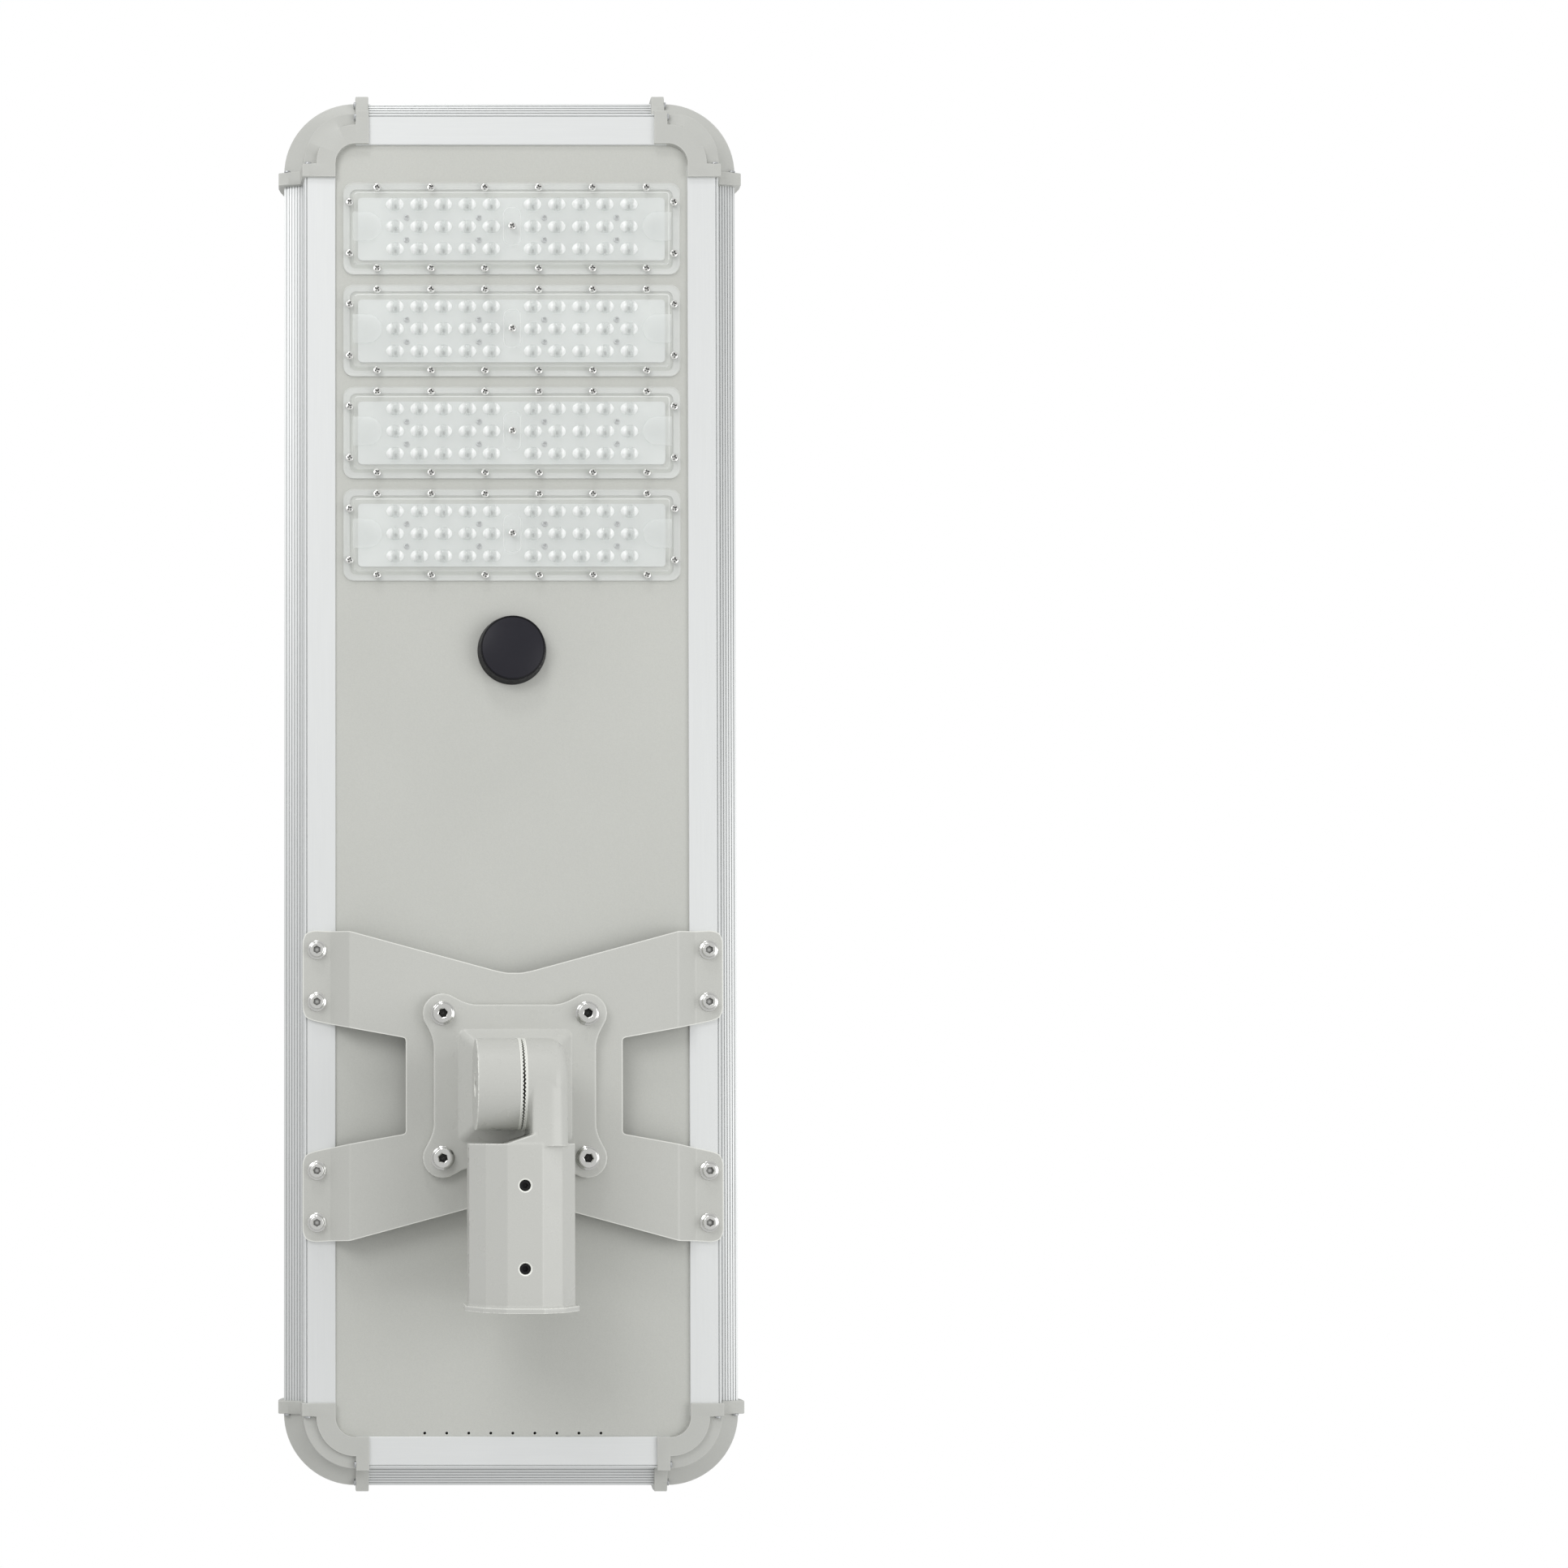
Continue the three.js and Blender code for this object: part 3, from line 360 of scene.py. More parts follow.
def cast(obj):
    """Melts overlapping solids into one casting with soft edges and fillets."""
    remesh = obj.modifiers.new("melt", "REMESH")
    remesh.mode = "VOXEL"
    remesh.voxel_size = CAST_VOXEL * MM
    smooth = obj.modifiers.new("soften", "SMOOTH")
    smooth.factor = 0.5
    smooth.iterations = 1
    apply_modifiers(obj)


def finish_piece(obj, slot, look=None, sharp_deg=35, replaces=(), body=HEAD_BODY):
    """Shading, material and body of one piece, in its slot's look or another; it hides the CAD parts it replaces.
    """
    obj.data.shade_smooth()
    obj.data.set_sharp_from_angle(angle=math.radians(sharp_deg))
    obj.data.materials.clear()
    obj.data.materials.append(LOOKS[look or slot])
    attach(obj, body)
    if replaces:
        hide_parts(*replaces)
    return obj


def piece(name, solid, slot, **options):
    return finish_piece(new_object(name, solid), slot, **options)


# ---- materials


def feed(made, **inputs):
    """Sets a node's inputs by name; a value that is a socket gets linked."""
    for key, value in inputs.items():
        socket = made.inputs[key.replace("_", " ")]
        if isinstance(value, bpy.types.NodeSocket):
            made.id_data.links.new(value, socket)
        else:
            socket.default_value = value


def node(near, kind, settings=None, **inputs):
    """A shader node with its settings and inputs, in the same tree as near."""
    made = near.id_data.nodes.new(kind)
    for key, value in (settings or {}).items():
        setattr(made, key, value)
    feed(made, **inputs)
    return made


def new_look(name):
    """A new material, its Principled node and its object coordinates."""
    look = bpy.data.materials.new(name)
    look.use_nodes = True
    shader = look.node_tree.nodes["Principled BSDF"]
    return look, shader, node(shader, "ShaderNodeTexCoord").outputs["Object"]


def stretched(place, scale):
    made = node(place, "ShaderNodeMapping", Vector=place, Scale=scale)
    return made.outputs["Vector"]


def noise(place, scale, detail=2, roughness=0.5):
    made = node(place, "ShaderNodeTexNoise", Vector=place, Scale=scale)
    feed(made, Detail=detail, Roughness=roughness)
    return made.outputs["Fac"]


def spread(value, low, high, start=0.3, end=0.7):
    """Maps value from start..end to low..high."""
    made = node(value, "ShaderNodeMapRange", Value=value, From_Min=start, From_Max=end)
    feed(made, To_Min=low, To_Max=high)
    return made.outputs["Result"]


def scaled(colour, factor):
    """A colour, fixed or from a socket, times a factor that comes from a socket."""
    made = node(factor, "ShaderNodeVectorMath", {"operation": "SCALE"}, Scale=factor)
    feed(made, Vector=colour)
    return made.outputs["Vector"]


def times(product, *factors):
    for factor in factors:
        made = node(product, "ShaderNodeMath", {"operation": "MULTIPLY"}, Value=product)
        product.id_data.links.new(factor, made.inputs[1])
        product = made.outputs["Value"]
    return product


def bump(shader, height, strength, distance_mm):
    made = node(shader, "ShaderNodeBump", Height=height, Strength=strength)
    feed(made, Distance=distance_mm * MM)
    feed(shader, Normal=made.outputs["Normal"])


def coat(shader, colour, factor, shine, **more):
    """Sets a shader's colour times a factor, its roughness and more."""
    feed(shader, Base_Color=scaled(colour, factor), Roughness=shine, **more)


def occlusion(near, reach_mm, **settings):
    """How open the piece's own surface is within this reach, from 0 to 1."""
    settings = {"only_local": True, "samples": 8, **settings}
    return node(near, "ShaderNodeAmbientOcclusion", settings, Distance=reach_mm * MM).outputs["AO"]


def edge_wear_and_highlight(near, brightest):
    """A factor that rises on convex edges: paint and metal rubbed bright there, and a painted highlight where the
    edges catch the light.
    """
    return spread(occlusion(near, EDGE_WEAR_AND_HIGHLIGHT_REACH, inside=True), brightest, 1, 0.62, 0.985)


def recess_shade(near, reach_mm, darkest):
    """A factor that falls to darkest inside the piece's own recesses and grooves."""
    return spread(occlusion(near, reach_mm), darkest, 1, 0.5, 0.92)


def paint_look(name, colour, roughness=0.5, peel=0.25, speckle=0.03, edge=0.06):
    """Powder coat: fine speckle, orange peel, slow cloudiness, and rubbed edges with a painted highlight on them.
    """
    look, shader, place = new_look(name)
    cloudy = spread(noise(place, 7, 4), 0.975, 1.02)
    grain = spread(noise(place, 1100, 2, 0.7), 1 - speckle, 1 + speckle)
    # The edge factor paints a highlight on convex edges, along with rubbed paint.
    factor = times(cloudy, grain, edge_wear_and_highlight(place, 1 + edge))
    shine = spread(noise(place, 60, 3), roughness - 0.05, roughness + 0.06)
    coat(shader, colour, factor, shine, Specular_IOR_Level=0.45)
    bump(shader, noise(place, 420, 3, 0.6), peel, 0.12)
    return look


def arm_look(name, bare_r):
    """The castings' paint, with bare machined chamfers of this radius round the set screws."""
    look = paint_look(name, *CASTING_PAINT)
    shader = look.node_tree.nodes["Principled BSDF"]
    place = node(shader, "ShaderNodeTexCoord").outputs["Object"]
    colour = shader.inputs["Base Color"].links[0].from_socket
    for y in SET_SCREW_Y:
        gap = node(place, "ShaderNodeVectorMath", {"operation": "DISTANCE"}, Vector=place)
        gap.inputs[1].default_value = (0, (PIVOT_Y + y) * MM, FACET_Z * MM)
        bare = spread(gap.outputs["Value"], 1.55, 1, bare_r * MM, (bare_r + 0.2) * MM)
        colour = scaled(colour, bare)
    feed(shader, Base_Color=colour)
    return look


def metal_look(name, colour, roughness, streak=0.05, recess_mm=0, darkest=0.03):
    """Bare metal with a fine grain, slightly uneven shine, rubbed edges with a painted highlight and, where asked,
    painted shade in its recesses.
    """
    look, shader, place = new_look(name)
    grain = noise(place, 900, 4, 0.65)
    # Painted highlight on convex edges, along with rubbed metal.
    factor = times(spread(grain, 1 - streak, 1 + streak), edge_wear_and_highlight(place, 1.06))
    # Painted shade inside the screw's own recesses, such as its cross or hex key.
    if recess_mm:
        factor = times(factor, recess_shade(place, recess_mm, darkest))
    shine = spread(grain, roughness * (1 - 3 * streak), roughness * (1 + 3 * streak))
    coat(shader, colour, factor, shine, Metallic=1)
    bump(shader, grain, streak, 0.03)
    return look


def rail_look(name, grain_scale):
    """Anodised extrusion: a bright lip, a band coloured a little darker than the lip, painted shade in the grooves
    and a painted highlight on the edges.
    """
    look, shader, place = new_look(name)
    grain = noise(stretched(place, grain_scale), 900, 4, 0.65)
    height = node(place, "ShaderNodeSeparateXYZ", Vector=place).outputs["Z"]
    band = spread(height, 1, 0.93, LIP_Z * MM, (LIP_Z + BAND_START[1]) * MM)
    uneven = spread(grain, 0.988, 1.012)
    # Painted shade in the grooves and a painted highlight on convex edges; the band factor only darkens the colour
    # by height.
    factor = times(uneven, edge_wear_and_highlight(place, 1.06), band, recess_shade(place, 1.2, 0.72))
    coat(shader, (0.785, 0.8, 0.8), factor, spread(grain, 0.4, 0.44), Metallic=0.3)
    bump(shader, grain, 0.012, 0.03)
    return look


def plastic_look(name, colour, roughness, texture=0.15, specular=0.5):
    """Moulded plastic or film: fine spark texture and faint flow clouds."""
    look, shader, place = new_look(name)
    factor = spread(noise(place, 25, 3), 0.94, 1.05)
    shine = spread(noise(place, 300, 2), roughness - 0.04, roughness + 0.06)
    coat(shader, colour, factor, shine, Specular_IOR_Level=specular)
    bump(shader, noise(place, 1500, 2), texture, 0.04)
    return look


def over_clear(look, shader, share, tint):
    """Lays a share of the look's shader over what is behind it, and lets most light through."""
    clear = node(shader, "ShaderNodeBsdfTransparent", Color=tint)
    shadow = node(shader, "ShaderNodeLightPath").outputs["Is Shadow Ray"]
    mix = node(shader, "ShaderNodeMixShader", Fac=times(share, spread(shadow, 1, 0.1, 0, 1)))
    look.node_tree.links.new(clear.outputs["BSDF"], mix.inputs[1])
    look.node_tree.links.new(shader.outputs["BSDF"], mix.inputs[2])
    feed(look.node_tree.nodes["Material Output"], Surface=mix.outputs["Shader"])
    return look


def clear_look(name, colour, haze, gloss, roughness, metallic=0.0, ripple=0.05):
    """Clear sheet: a thin haze, faint scuffs and a stronger reflection at the edges."""
    look, shader, place = new_look(name)
    factor = spread(noise(place, 15, 3), 0.97, 1.02)
    scuffs = spread(noise(place, 220, 4, 0.7), roughness * 0.7, roughness * 1.6)
    coat(shader, colour, factor, scuffs, Metallic=metallic)
    bump(shader, noise(place, 90, 2), ripple, 0.05)
    grazing = node(place, "ShaderNodeFresnel", IOR=1.45).outputs["Fac"]
    share = spread(grazing, haze, gloss, 0.03, 1.0)
    return over_clear(look, shader, share, (0.985, 0.99, 0.988, 1))


def lens_look(name):
    """Clear acrylic domes: see-through at the crown, with a painted highlight, whiter and less clear, where the
    sides turn across X.
    """
    look, shader, place = new_look(name)
    normal = node(place, "ShaderNodeTexCoord").outputs["Normal"]
    across = node(place, "ShaderNodeSeparateXYZ", Vector=normal).outputs["X"]
    sideways = node(place, "ShaderNodeMath", {"operation": "ABSOLUTE"}, Value=across)
    # Painted highlight: each dome's sides, by how far their normal turns across X, are painted whiter and made
    # less clear.
    painted_side_highlight = spread(sideways.outputs["Value"], 0, 1, 0.2, 0.5)
    clouds = spread(noise(place, 400, 3), 0.9, 1.06)
    factor = times(spread(painted_side_highlight, 0.8, 1.03, 0, 1), clouds)
    shine = spread(noise(place, 250, 2), 0.05, 0.12)
    coat(shader, (0.97, 0.985, 0.98), factor, shine)
    share = spread(painted_side_highlight, 0.3, 0.95, 0, 1)
    return over_clear(look, shader, share, (0.97, 0.98, 0.975, 1))


def cell_look(name):
    """Monocrystalline silicon: near black, with thin printed fingers across each cell."""
    look, shader, place = new_look(name)
    bands = {"wave_type": "BANDS", "bands_direction": "Y", "wave_profile": "SIN"}
    lines = node(place, "ShaderNodeTexWave", bands, Vector=place, Scale=105).outputs["Fac"]
    finger = spread(lines, 0, 0.02, 0.9, 1.0)
    cloudy = spread(noise(place, 9, 3), 0.8, 1.25)
    base = scaled((0.0035, 0.0038, 0.006), cloudy)
    silver = (0.3, 0.31, 0.33, 1)
    mix = node(place, "ShaderNodeMix", {"data_type": "RGBA"}, Factor=finger, A=base, B=silver)
    shine = spread(noise(place, 500, 2), 0.3, 0.4)
    feed(shader, Base_Color=mix.outputs["Result"], Roughness=shine, Specular_IOR_Level=0.2)
    bump(shader, lines, 0.03, 0.02)
    return look


# Colour, roughness, orange peel, speckle, and edge wear with its painted edge highlight.
CASTING_PAINT = ((0.57, 0.575, 0.545), 0.3, 0.2, 0.02, 0.75)
RECIPES = {
    "anodised_rail": (rail_look, (1, 0.02, 1)),
    "anodised_end_rail": (rail_look, (0.02, 1, 1)),
    "painted_casting": (paint_look, *CASTING_PAINT),
    "painted_arm": (arm_look, 5.1),
    "painted_corner": (paint_look, (0.52, 0.526, 0.5), 0.45, 0.2, 0.02, 0.12),
    "painted_plate": (paint_look, (0.553, 0.56, 0.527), 0.55, 0.35, 0.035),
    "painted_sheet": (paint_look, (0.555, 0.56, 0.53), 0.45, 0.3, 0.03, 0.6),
    "panel_glass": (clear_look, (0.9, 0.92, 0.93), 0, 0.6, 0.05, 1, 0.004),
    "solar_cell": (cell_look,),
    "solar_ribbon": (plastic_look, (0.85, 0.86, 0.86), 0.4, 0.1),
    "white_film": (plastic_look, (0.93, 0.935, 0.93), 0.4, 0.1),
    "grey_rubber": (plastic_look, (0.64, 0.645, 0.63), 0.7, 0.3),
    "black_plastic": (plastic_look, (0.006, 0.006, 0.008), 0.4, 0.1, 0.2),
    "sensor_window": (plastic_look, (0.017, 0.0165, 0.023), 0.35, 0.02, 0.25),
    "white_board": (plastic_look, (0.7, 0.715, 0.71), 0.45, 0.1),
    "led_chip": (plastic_look, (0.09, 0.09, 0.085), 0.4, 0.1),
    "clear_lens": (clear_look, (0.95, 0.955, 0.945), 0.15, 0.7, 0.12),
    "cover_pad": (clear_look, (0.96, 0.97, 0.965), 0.18, 0.3, 0.12),
    "lens_dome": (lens_look,),
    "battery_wrap": (plastic_look, (0.03, 0.11, 0.39), 0.35, 0.05),
    "cable_jacket": (plastic_look, (0.012, 0.012, 0.014), 0.5, 0.3),
    "cast_aluminium": (metal_look, (0.5, 0.51, 0.52), 0.5),
    "bright_steel": (metal_look, (0.78, 0.78, 0.76), 0.16, 0.04, 7),
    "black_steel": (metal_look, (0.03, 0.03, 0.032), 0.4),
    "small_screw": (metal_look, (0.85, 0.85, 0.83), 0.24, 0.05, 1, 0.02),
    "rail_bolt": (metal_look, (0.8, 0.8, 0.78), 0.2, 0.05, 3, 0.2),
}
LOOKS = {name: make(name, *values) for name, (make, *values) in RECIPES.items()}


def dress_cad_nodes():
    """Each CAD node gets the look of its slot in the record."""
    for entry in frame["record"]["subparts"]:
        mesh = frame["nodes"][entry["node"]].data
        mesh.materials.clear()
        mesh.materials.append(LOOKS[entry["material_slot"]])


# ---- rails


def grooved_line(a, b, bulge, grooves_u):
    """A bowed line from a to b with flat-bottomed grooves."""
    length = math.hypot(b[0] - a[0], b[1] - a[1])
    inward = ((b[1] - a[1]) / length, -(b[0] - a[0]) / length)
    half = GROOVE_WIDTH / 2 / length
    points = [bowed(a, b, bulge, 0)]
    for u in grooves_u:
        middle = (u - a[0]) / (b[0] - a[0])
        for share, depth in ((-1, 0), (-0.7, GROOVE_DEPTH), (0.7, GROOVE_DEPTH), (1, 0)):
            x, z = bowed(a, b, bulge, middle + share * half)
            points.append((x + inward[0] * depth, z + inward[1] * depth))
    points.append(bowed(a, b, bulge, 1))
    return points


def rail_section():
    band = grooved_line(BAND_START, SIDE_LOW, BAND_BULGE, LOWER_GROOVES_U)
    upper = grooved_line(SIDE_HIGH, SLOPE_HEAD, SLOPE_BULGE, UPPER_GROOVES_U)
    outer = [(LIP_INNER_U, LIP_THICK), (LIP_INNER_U, 0.4), (LIP_INNER_U - 0.4, 0)]
    outer += [(RIDGE_U[1] + 0.3, 0), (RIDGE_U[1], RIDGE_DEPTH), (RIDGE_U[1] - 0.5, RIDGE_DEPTH)]
    outer += [(RIDGE_U[0], 0), STEP_FOOT, (STEP_FOOT[0] - 0.3, 0.4)]
    inner = [(SLOPE_HEAD[0] + 0.5, RAIL_TOP_Z), (TOP_LIP_U - 0.3, RAIL_TOP_Z)]
    inner += [(TOP_LIP_U, RAIL_TOP_Z - 0.3), (TOP_LIP_U, SLOT_TOP_Z), (SLOT_U, SLOT_TOP_Z)]
    inner += [(SLOT_U, LEDGE_Z), (LEDGE_U, LEDGE_Z), (LEDGE_U, LEDGE_Z - 2)]
    inner += bowed_line((10.4, LEDGE_Z - 2), (2.4, 23.5), -1, 4)
    inner += [(2.4, 22), (16.4, 19), (18.6, LIP_THICK)]
    return outer + band + upper + inner


def rail(length, degrees, x, y):
    solid = along_y(rail_section(), -length / 2, length / 2)
    return placed(solid, HEAD @ at(x, y, 0) @ turn(degrees))


def build_rails():
    hole = rod(20, RAIL_HOLE_R, -3, 3)
    for name, side, degrees in (("left", -1, 0), ("right", 1, 180)):
        solid = rail(SIDE_RAIL_LENGTH, degrees, side * HALF_WIDTH, 0)
        made = new_object(f"frame_rail_{name}", solid)
        spots = [(side * RAIL_BOLT_X, PIVOT_Y + sign * y) for y in RAIL_BOLT_Y for sign in (-1, 1)]
        cut(made, [joined([shifted(hole, x, y, LIP_Z) for x, y in spots])])
        finish_piece(made, "anodised_rail", replaces=[f"rail_{name}"])
    for name, side, degrees in (("front", 1, -90), ("rear", -1, 90)):
        solid = rail(END_RAIL_LENGTH, degrees, 0, side * HALF_LENGTH)
        old = f"rail_{name}"
        piece(f"frame_{old}", solid, "anodised_rail", look="anodised_end_rail", replaces=[old])


# ---- corner castings


def corner_profiles(lip_u, channel):
    """Matching (u, z) outlines of the body, with its channel this deep, and of the collar."""
    floor_z = -2.2 + 3.4 * channel
    body = [(LIP_INNER_U, -2.5), (26, -2.5), (25.2, floor_z), (16.2, floor_z)]
    body += bowed_line((15.6, floor_z + 0.5), (14.1, 14.4), 0, 2)
    body += bowed_line((12.9, 15.1), SIDE_LOW, 0.5, 2)
    body += bowed_line(SIDE_HIGH, SLOPE_HEAD, SLOPE_BULGE, 5)
    body += [(lip_u, RAIL_TOP_Z), (lip_u, SLOT_TOP_Z)]
    body += bowed_line((17.8, SLOT_TOP_Z), (2.6, 24), -SLOPE_BULGE, 3)
    body += [(2.6, 22), (15.6, 18.4), (18, 10), (18.6, 3.8)]
    body += [(28.5, 3.8), (30.5, 1.9), (LIP_INNER_U, 1.9)]
    collar = [(LIP_INNER_U, -2.5), (26, -2.5), (20, -2.5), (15.5, -2.5)]
    collar += bowed_line((14.8, -2.5), (12.9, 12.6), 0, 2)
    collar += bowed_line((11.6, 13.2), (-4.5, 16.4), 0.5, 2)
    collar += bowed_line((-4.5, 25), (12.5, 57.3), SLOPE_BULGE, 5)
    collar += [(lip_u, 57.3), (lip_u, 55.3)]
    collar += bowed_line((14.6, 55.3), (-0.4, 24), -SLOPE_BULGE, 3)
    collar += [(-0.4, 19.2), (14.2, 16), (15.4, 8), (16.4, -0.3)]
    collar += [(28.5, -0.3), (30.5, -0.3), (LIP_INNER_U, -0.3)]
    return body, collar


def corner_ring(distance, degrees, collar_share, filled):
    """One ring of the corner: distance along the collar, or degrees round the bend."""
    offset = TOP_LIP_U + GLASS_OPENING_R - CORNER_R
    a = math.radians(degrees)
    if distance > 0:
        reach = math.sqrt(GLASS_OPENING_R**2 - (offset - distance) ** 2) - offset
    else:
        lean = offset * (math.cos(a) + math.sin(a))
        reach = math.sqrt(GLASS_OPENING_R**2 - 2 * offset**2 + lean**2) - lean
    from_collar = min(degrees, 90 - degrees, CHANNEL_FADE_DEG) / CHANNEL_FADE_DEG
    body, collar = corner_profiles(CORNER_R - reach, 1 - filled * from_collar**2)
    x, y = (distance, 0) if degrees == 90 else (0, distance)
    ring = []
    for (bu, bz), (cu, cz) in zip(body, collar):
        r = CORNER_R - bu - (cu - bu) * collar_share
        z = bz + (cz - bz) * collar_share
        ring.append((x - r * math.cos(a), y - r * math.sin(a), z))
    return ring


def corner_solid(filled):
    """A corner whose channel is filled in, by this share of its depth, away from the collars."""
    steps = 18
    collar = ((COLLAR_LENGTH, 0.88), (COLLAR_LENGTH - 0.5, 1), (0.7, 1), (0.15, 0.86))
    rings = [corner_ring(distance, 0, share, filled) for distance, share in collar]
    rings += [corner_ring(0, 90 * i / steps, 0, filled) for i in range(steps + 1)]
    rings += [corner_ring(distance, 90, share, filled) for distance, share in collar[::-1]]
    return loft(rings)


def corner_screws():
    """The small screws that stand against the collars' step faces, heads towards the bend."""
    head = small_screw(2.6, 1.7)
    solids = []
    for u, z in ((19.2, 0.2), (2.6, 17.0)):
        along_a = at(u - CORNER_R, 0.2, z) @ turn(-90, "X")
        along_b = at(0.2, u - CORNER_R, z) @ ALONG_X
        solids += [placed(head, along_a), placed(head, along_b)]
    return joined(solids)


def build_corners():
    x = HALF_WIDTH - CORNER_R
    y = HALF_LENGTH - CORNER_R
    places = (
        ("rear_left", -x, -y, 0, REAR_FILL),
        ("rear_right", x, -y, 90, REAR_FILL),
        ("front_right", x, y, 180, FRONT_FILL),
        ("front_left", -x, y, -90, FRONT_FILL),
    )
    screws = corner_screws()
    for name, px, py, degrees, filled in places:
        place = HEAD @ at(px, py, 0) @ turn(degrees)
        made = new_object(f"corner_casting_{name}", placed(corner_solid(filled), place))
        bevel(finish_piece(made, "painted_casting", "painted_corner", replaces=[f"corner_{name}"]), 40)
        solid = placed(screws, place)
        piece(f"corner_screws_{name}", solid, "bright_steel", look="cast_aluminium")


# ---- screws


def cross_recess(r, depth):
    """A tapered cross that a screw head is cut with, pointing up from z = 0."""
    arms = []
    for degrees in (0, 90):
        low = rounded_rect(2 * r, r * 0.52, r * 0.1, 1)
        high = rounded_rect(r * 1.3, r * 0.42, r * 0.08, 1)
        arm = loft([at_height(low, -0.4), at_height(high, depth)])
        arms.append(placed(arm, turn(degrees)))
    return arms


def small_screw(r, height):
    """A cross-head pan screw: its seat on z = 0, its head down to -height."""
    turns = [math.radians(degrees) for degrees in (20, 40, 58, 74, 90)]
    profile = [(0, -height)]
    profile += [(r * math.sin(a), -height * (0.7 + 0.3 * math.cos(a))) for a in turns]
    profile += [(r, -0.1), (r - 0.1, 0), (r * 0.5, 0), (r * 0.5, 1.5), (0, 1.5)]
    obj = new_object("small_screw", turned(profile, 24))
    tools = [shifted(tool, 0, 0, -height) for tool in cross_recess(r * 0.8, height * 0.85)]
    cut(obj, tools)
    return solid_from(obj)


def solid_from(obj):
    """Takes an object's mesh back as a solid in millimetres and removes the object."""
    points = [tuple(v.co / MM) for v in obj.data.vertices]
    faces = [tuple(f.vertices) for f in obj.data.polygons]
    bpy.data.objects.remove(obj)
    return points, faces


def socket_screw(shank_r, length, head_r, flange_r, height, key_r):
    """A flanged socket screw: its seat on z = 0, its head down to -height, its shank up."""
    round_r = 0.9
    profile = [(0, -height)]
    for degrees in (0, 30, 60, 90):
        a = math.radians(degrees)
        profile.append((head_r - round_r * (1 - math.sin(a)), -height + round_r * (1 - math.cos(a))))
    profile += [(head_r, -1.9), (head_r + 0.4, -1.6), (flange_r - 0.5, -1.3)]
    profile += [(flange_r, -0.9), (flange_r, -0.2), (flange_r - 0.2, 0)]
    profile += [(shank_r, 0), (shank_r, length - 0.8), (shank_r - 0.8, length), (0, length)]
    obj = new_object("socket_screw", turned(profile, 40))
    depths = ((key_r * 1.35, -0.3), (key_r, 0.5), (key_r, height * 0.6))
    cut(obj, [loft([at_height(polygon(6, r), -height + depth) for r, depth in depths])])
    return solid_from(obj)


def build_fasteners():
    rail_screw = socket_screw(3, 12, 5.6, 7.5, 5.6, 3.0)
    base_screw = socket_screw(4, 16, 7.7, 9.3, 7, 3.7)
    groups = (
        ("rail_screw", "rail_bolt", rail_screw, "rail_bolt"),
        ("base_screw", "base_bolt", base_screw, "bright_steel"),
    )
    for start, name, solid, look in groups:
        for old in sorted(n for n in frame["nodes"] if n.startswith(start)):
            low, high = box_mm(old)
            seat = high.z - max(p[2] for p in solid[0])
            place = at((low.x + high.x) / 2, (low.y + high.y) / 2, seat)
            made = placed(solid, place @ turn(chance.uniform(0, 60)))
            piece(old.replace(start, name), made, "bright_steel", look=look, replaces=[old])


def build_set_screws():
    """Cup-point socket set screws, each on its own sliding body."""
    for end in ("inner", "outer"):
        old = f"set_screw_{end}"
        low, high = box_mm(old)
        r = (high.x - low.x) / 2
        length = high.z - low.z
        profile = [(0, 0), (r - 0.5, 0)]
        pitch = 1.25
        z = 0.5
        while z + pitch < length - 1:
            profile += [(r, z), (r - 0.55, z + pitch / 2)]
            z += pitch
        profile += [(r, z), (r - 1.2, length), (r - 2, length)]
        profile += [(r - 2.4, length - 0.6), (0, length - 0.6)]
        obj = new_object(f"grub_screw_{end}", turned(profile, 32))
        cut(obj, [rod(6, 2.3, -1, 4)])
        place = at((low.x + high.x) / 2, (low.y + high.y) / 2, low.z)
        solid = placed(solid_from(obj), place)
        piece(f"grub_screw_{end}", solid, "black_steel", replaces=[old], body=f"{end}_set_screw")


# ---- tilt joint castings


def foot_outline():
    """The four-eared foot of the tilt base, seen in plan."""
    leave = math.radians(31)
    tip_x = EAR + EAR_R * math.cos(math.pi / 2 + leave)
    tip_y = EAR + EAR_R * math.sin(math.pi / 2 + leave)
    control = tip_x - (tip_y - FOOT_HALF) / math.tan(leave)
    side = curve((FOOT_HALF, 30), (FOOT_HALF, control), (tip_y, tip_x), 6)[:-1]
    side += arc(EAR, EAR, EAR_R, -31, 121, 18)
    side += curve((tip_x, tip_y), (control, FOOT_HALF), (30, FOOT_HALF), 6)[1:]
    outline = []
    for q in range(4):
        c = round(math.cos(q * math.pi / 2))
        s = round(math.sin(q * math.pi / 2))
        outline += [(x * c - y * s, x * s + y * c) for x, y in side]
    return outline


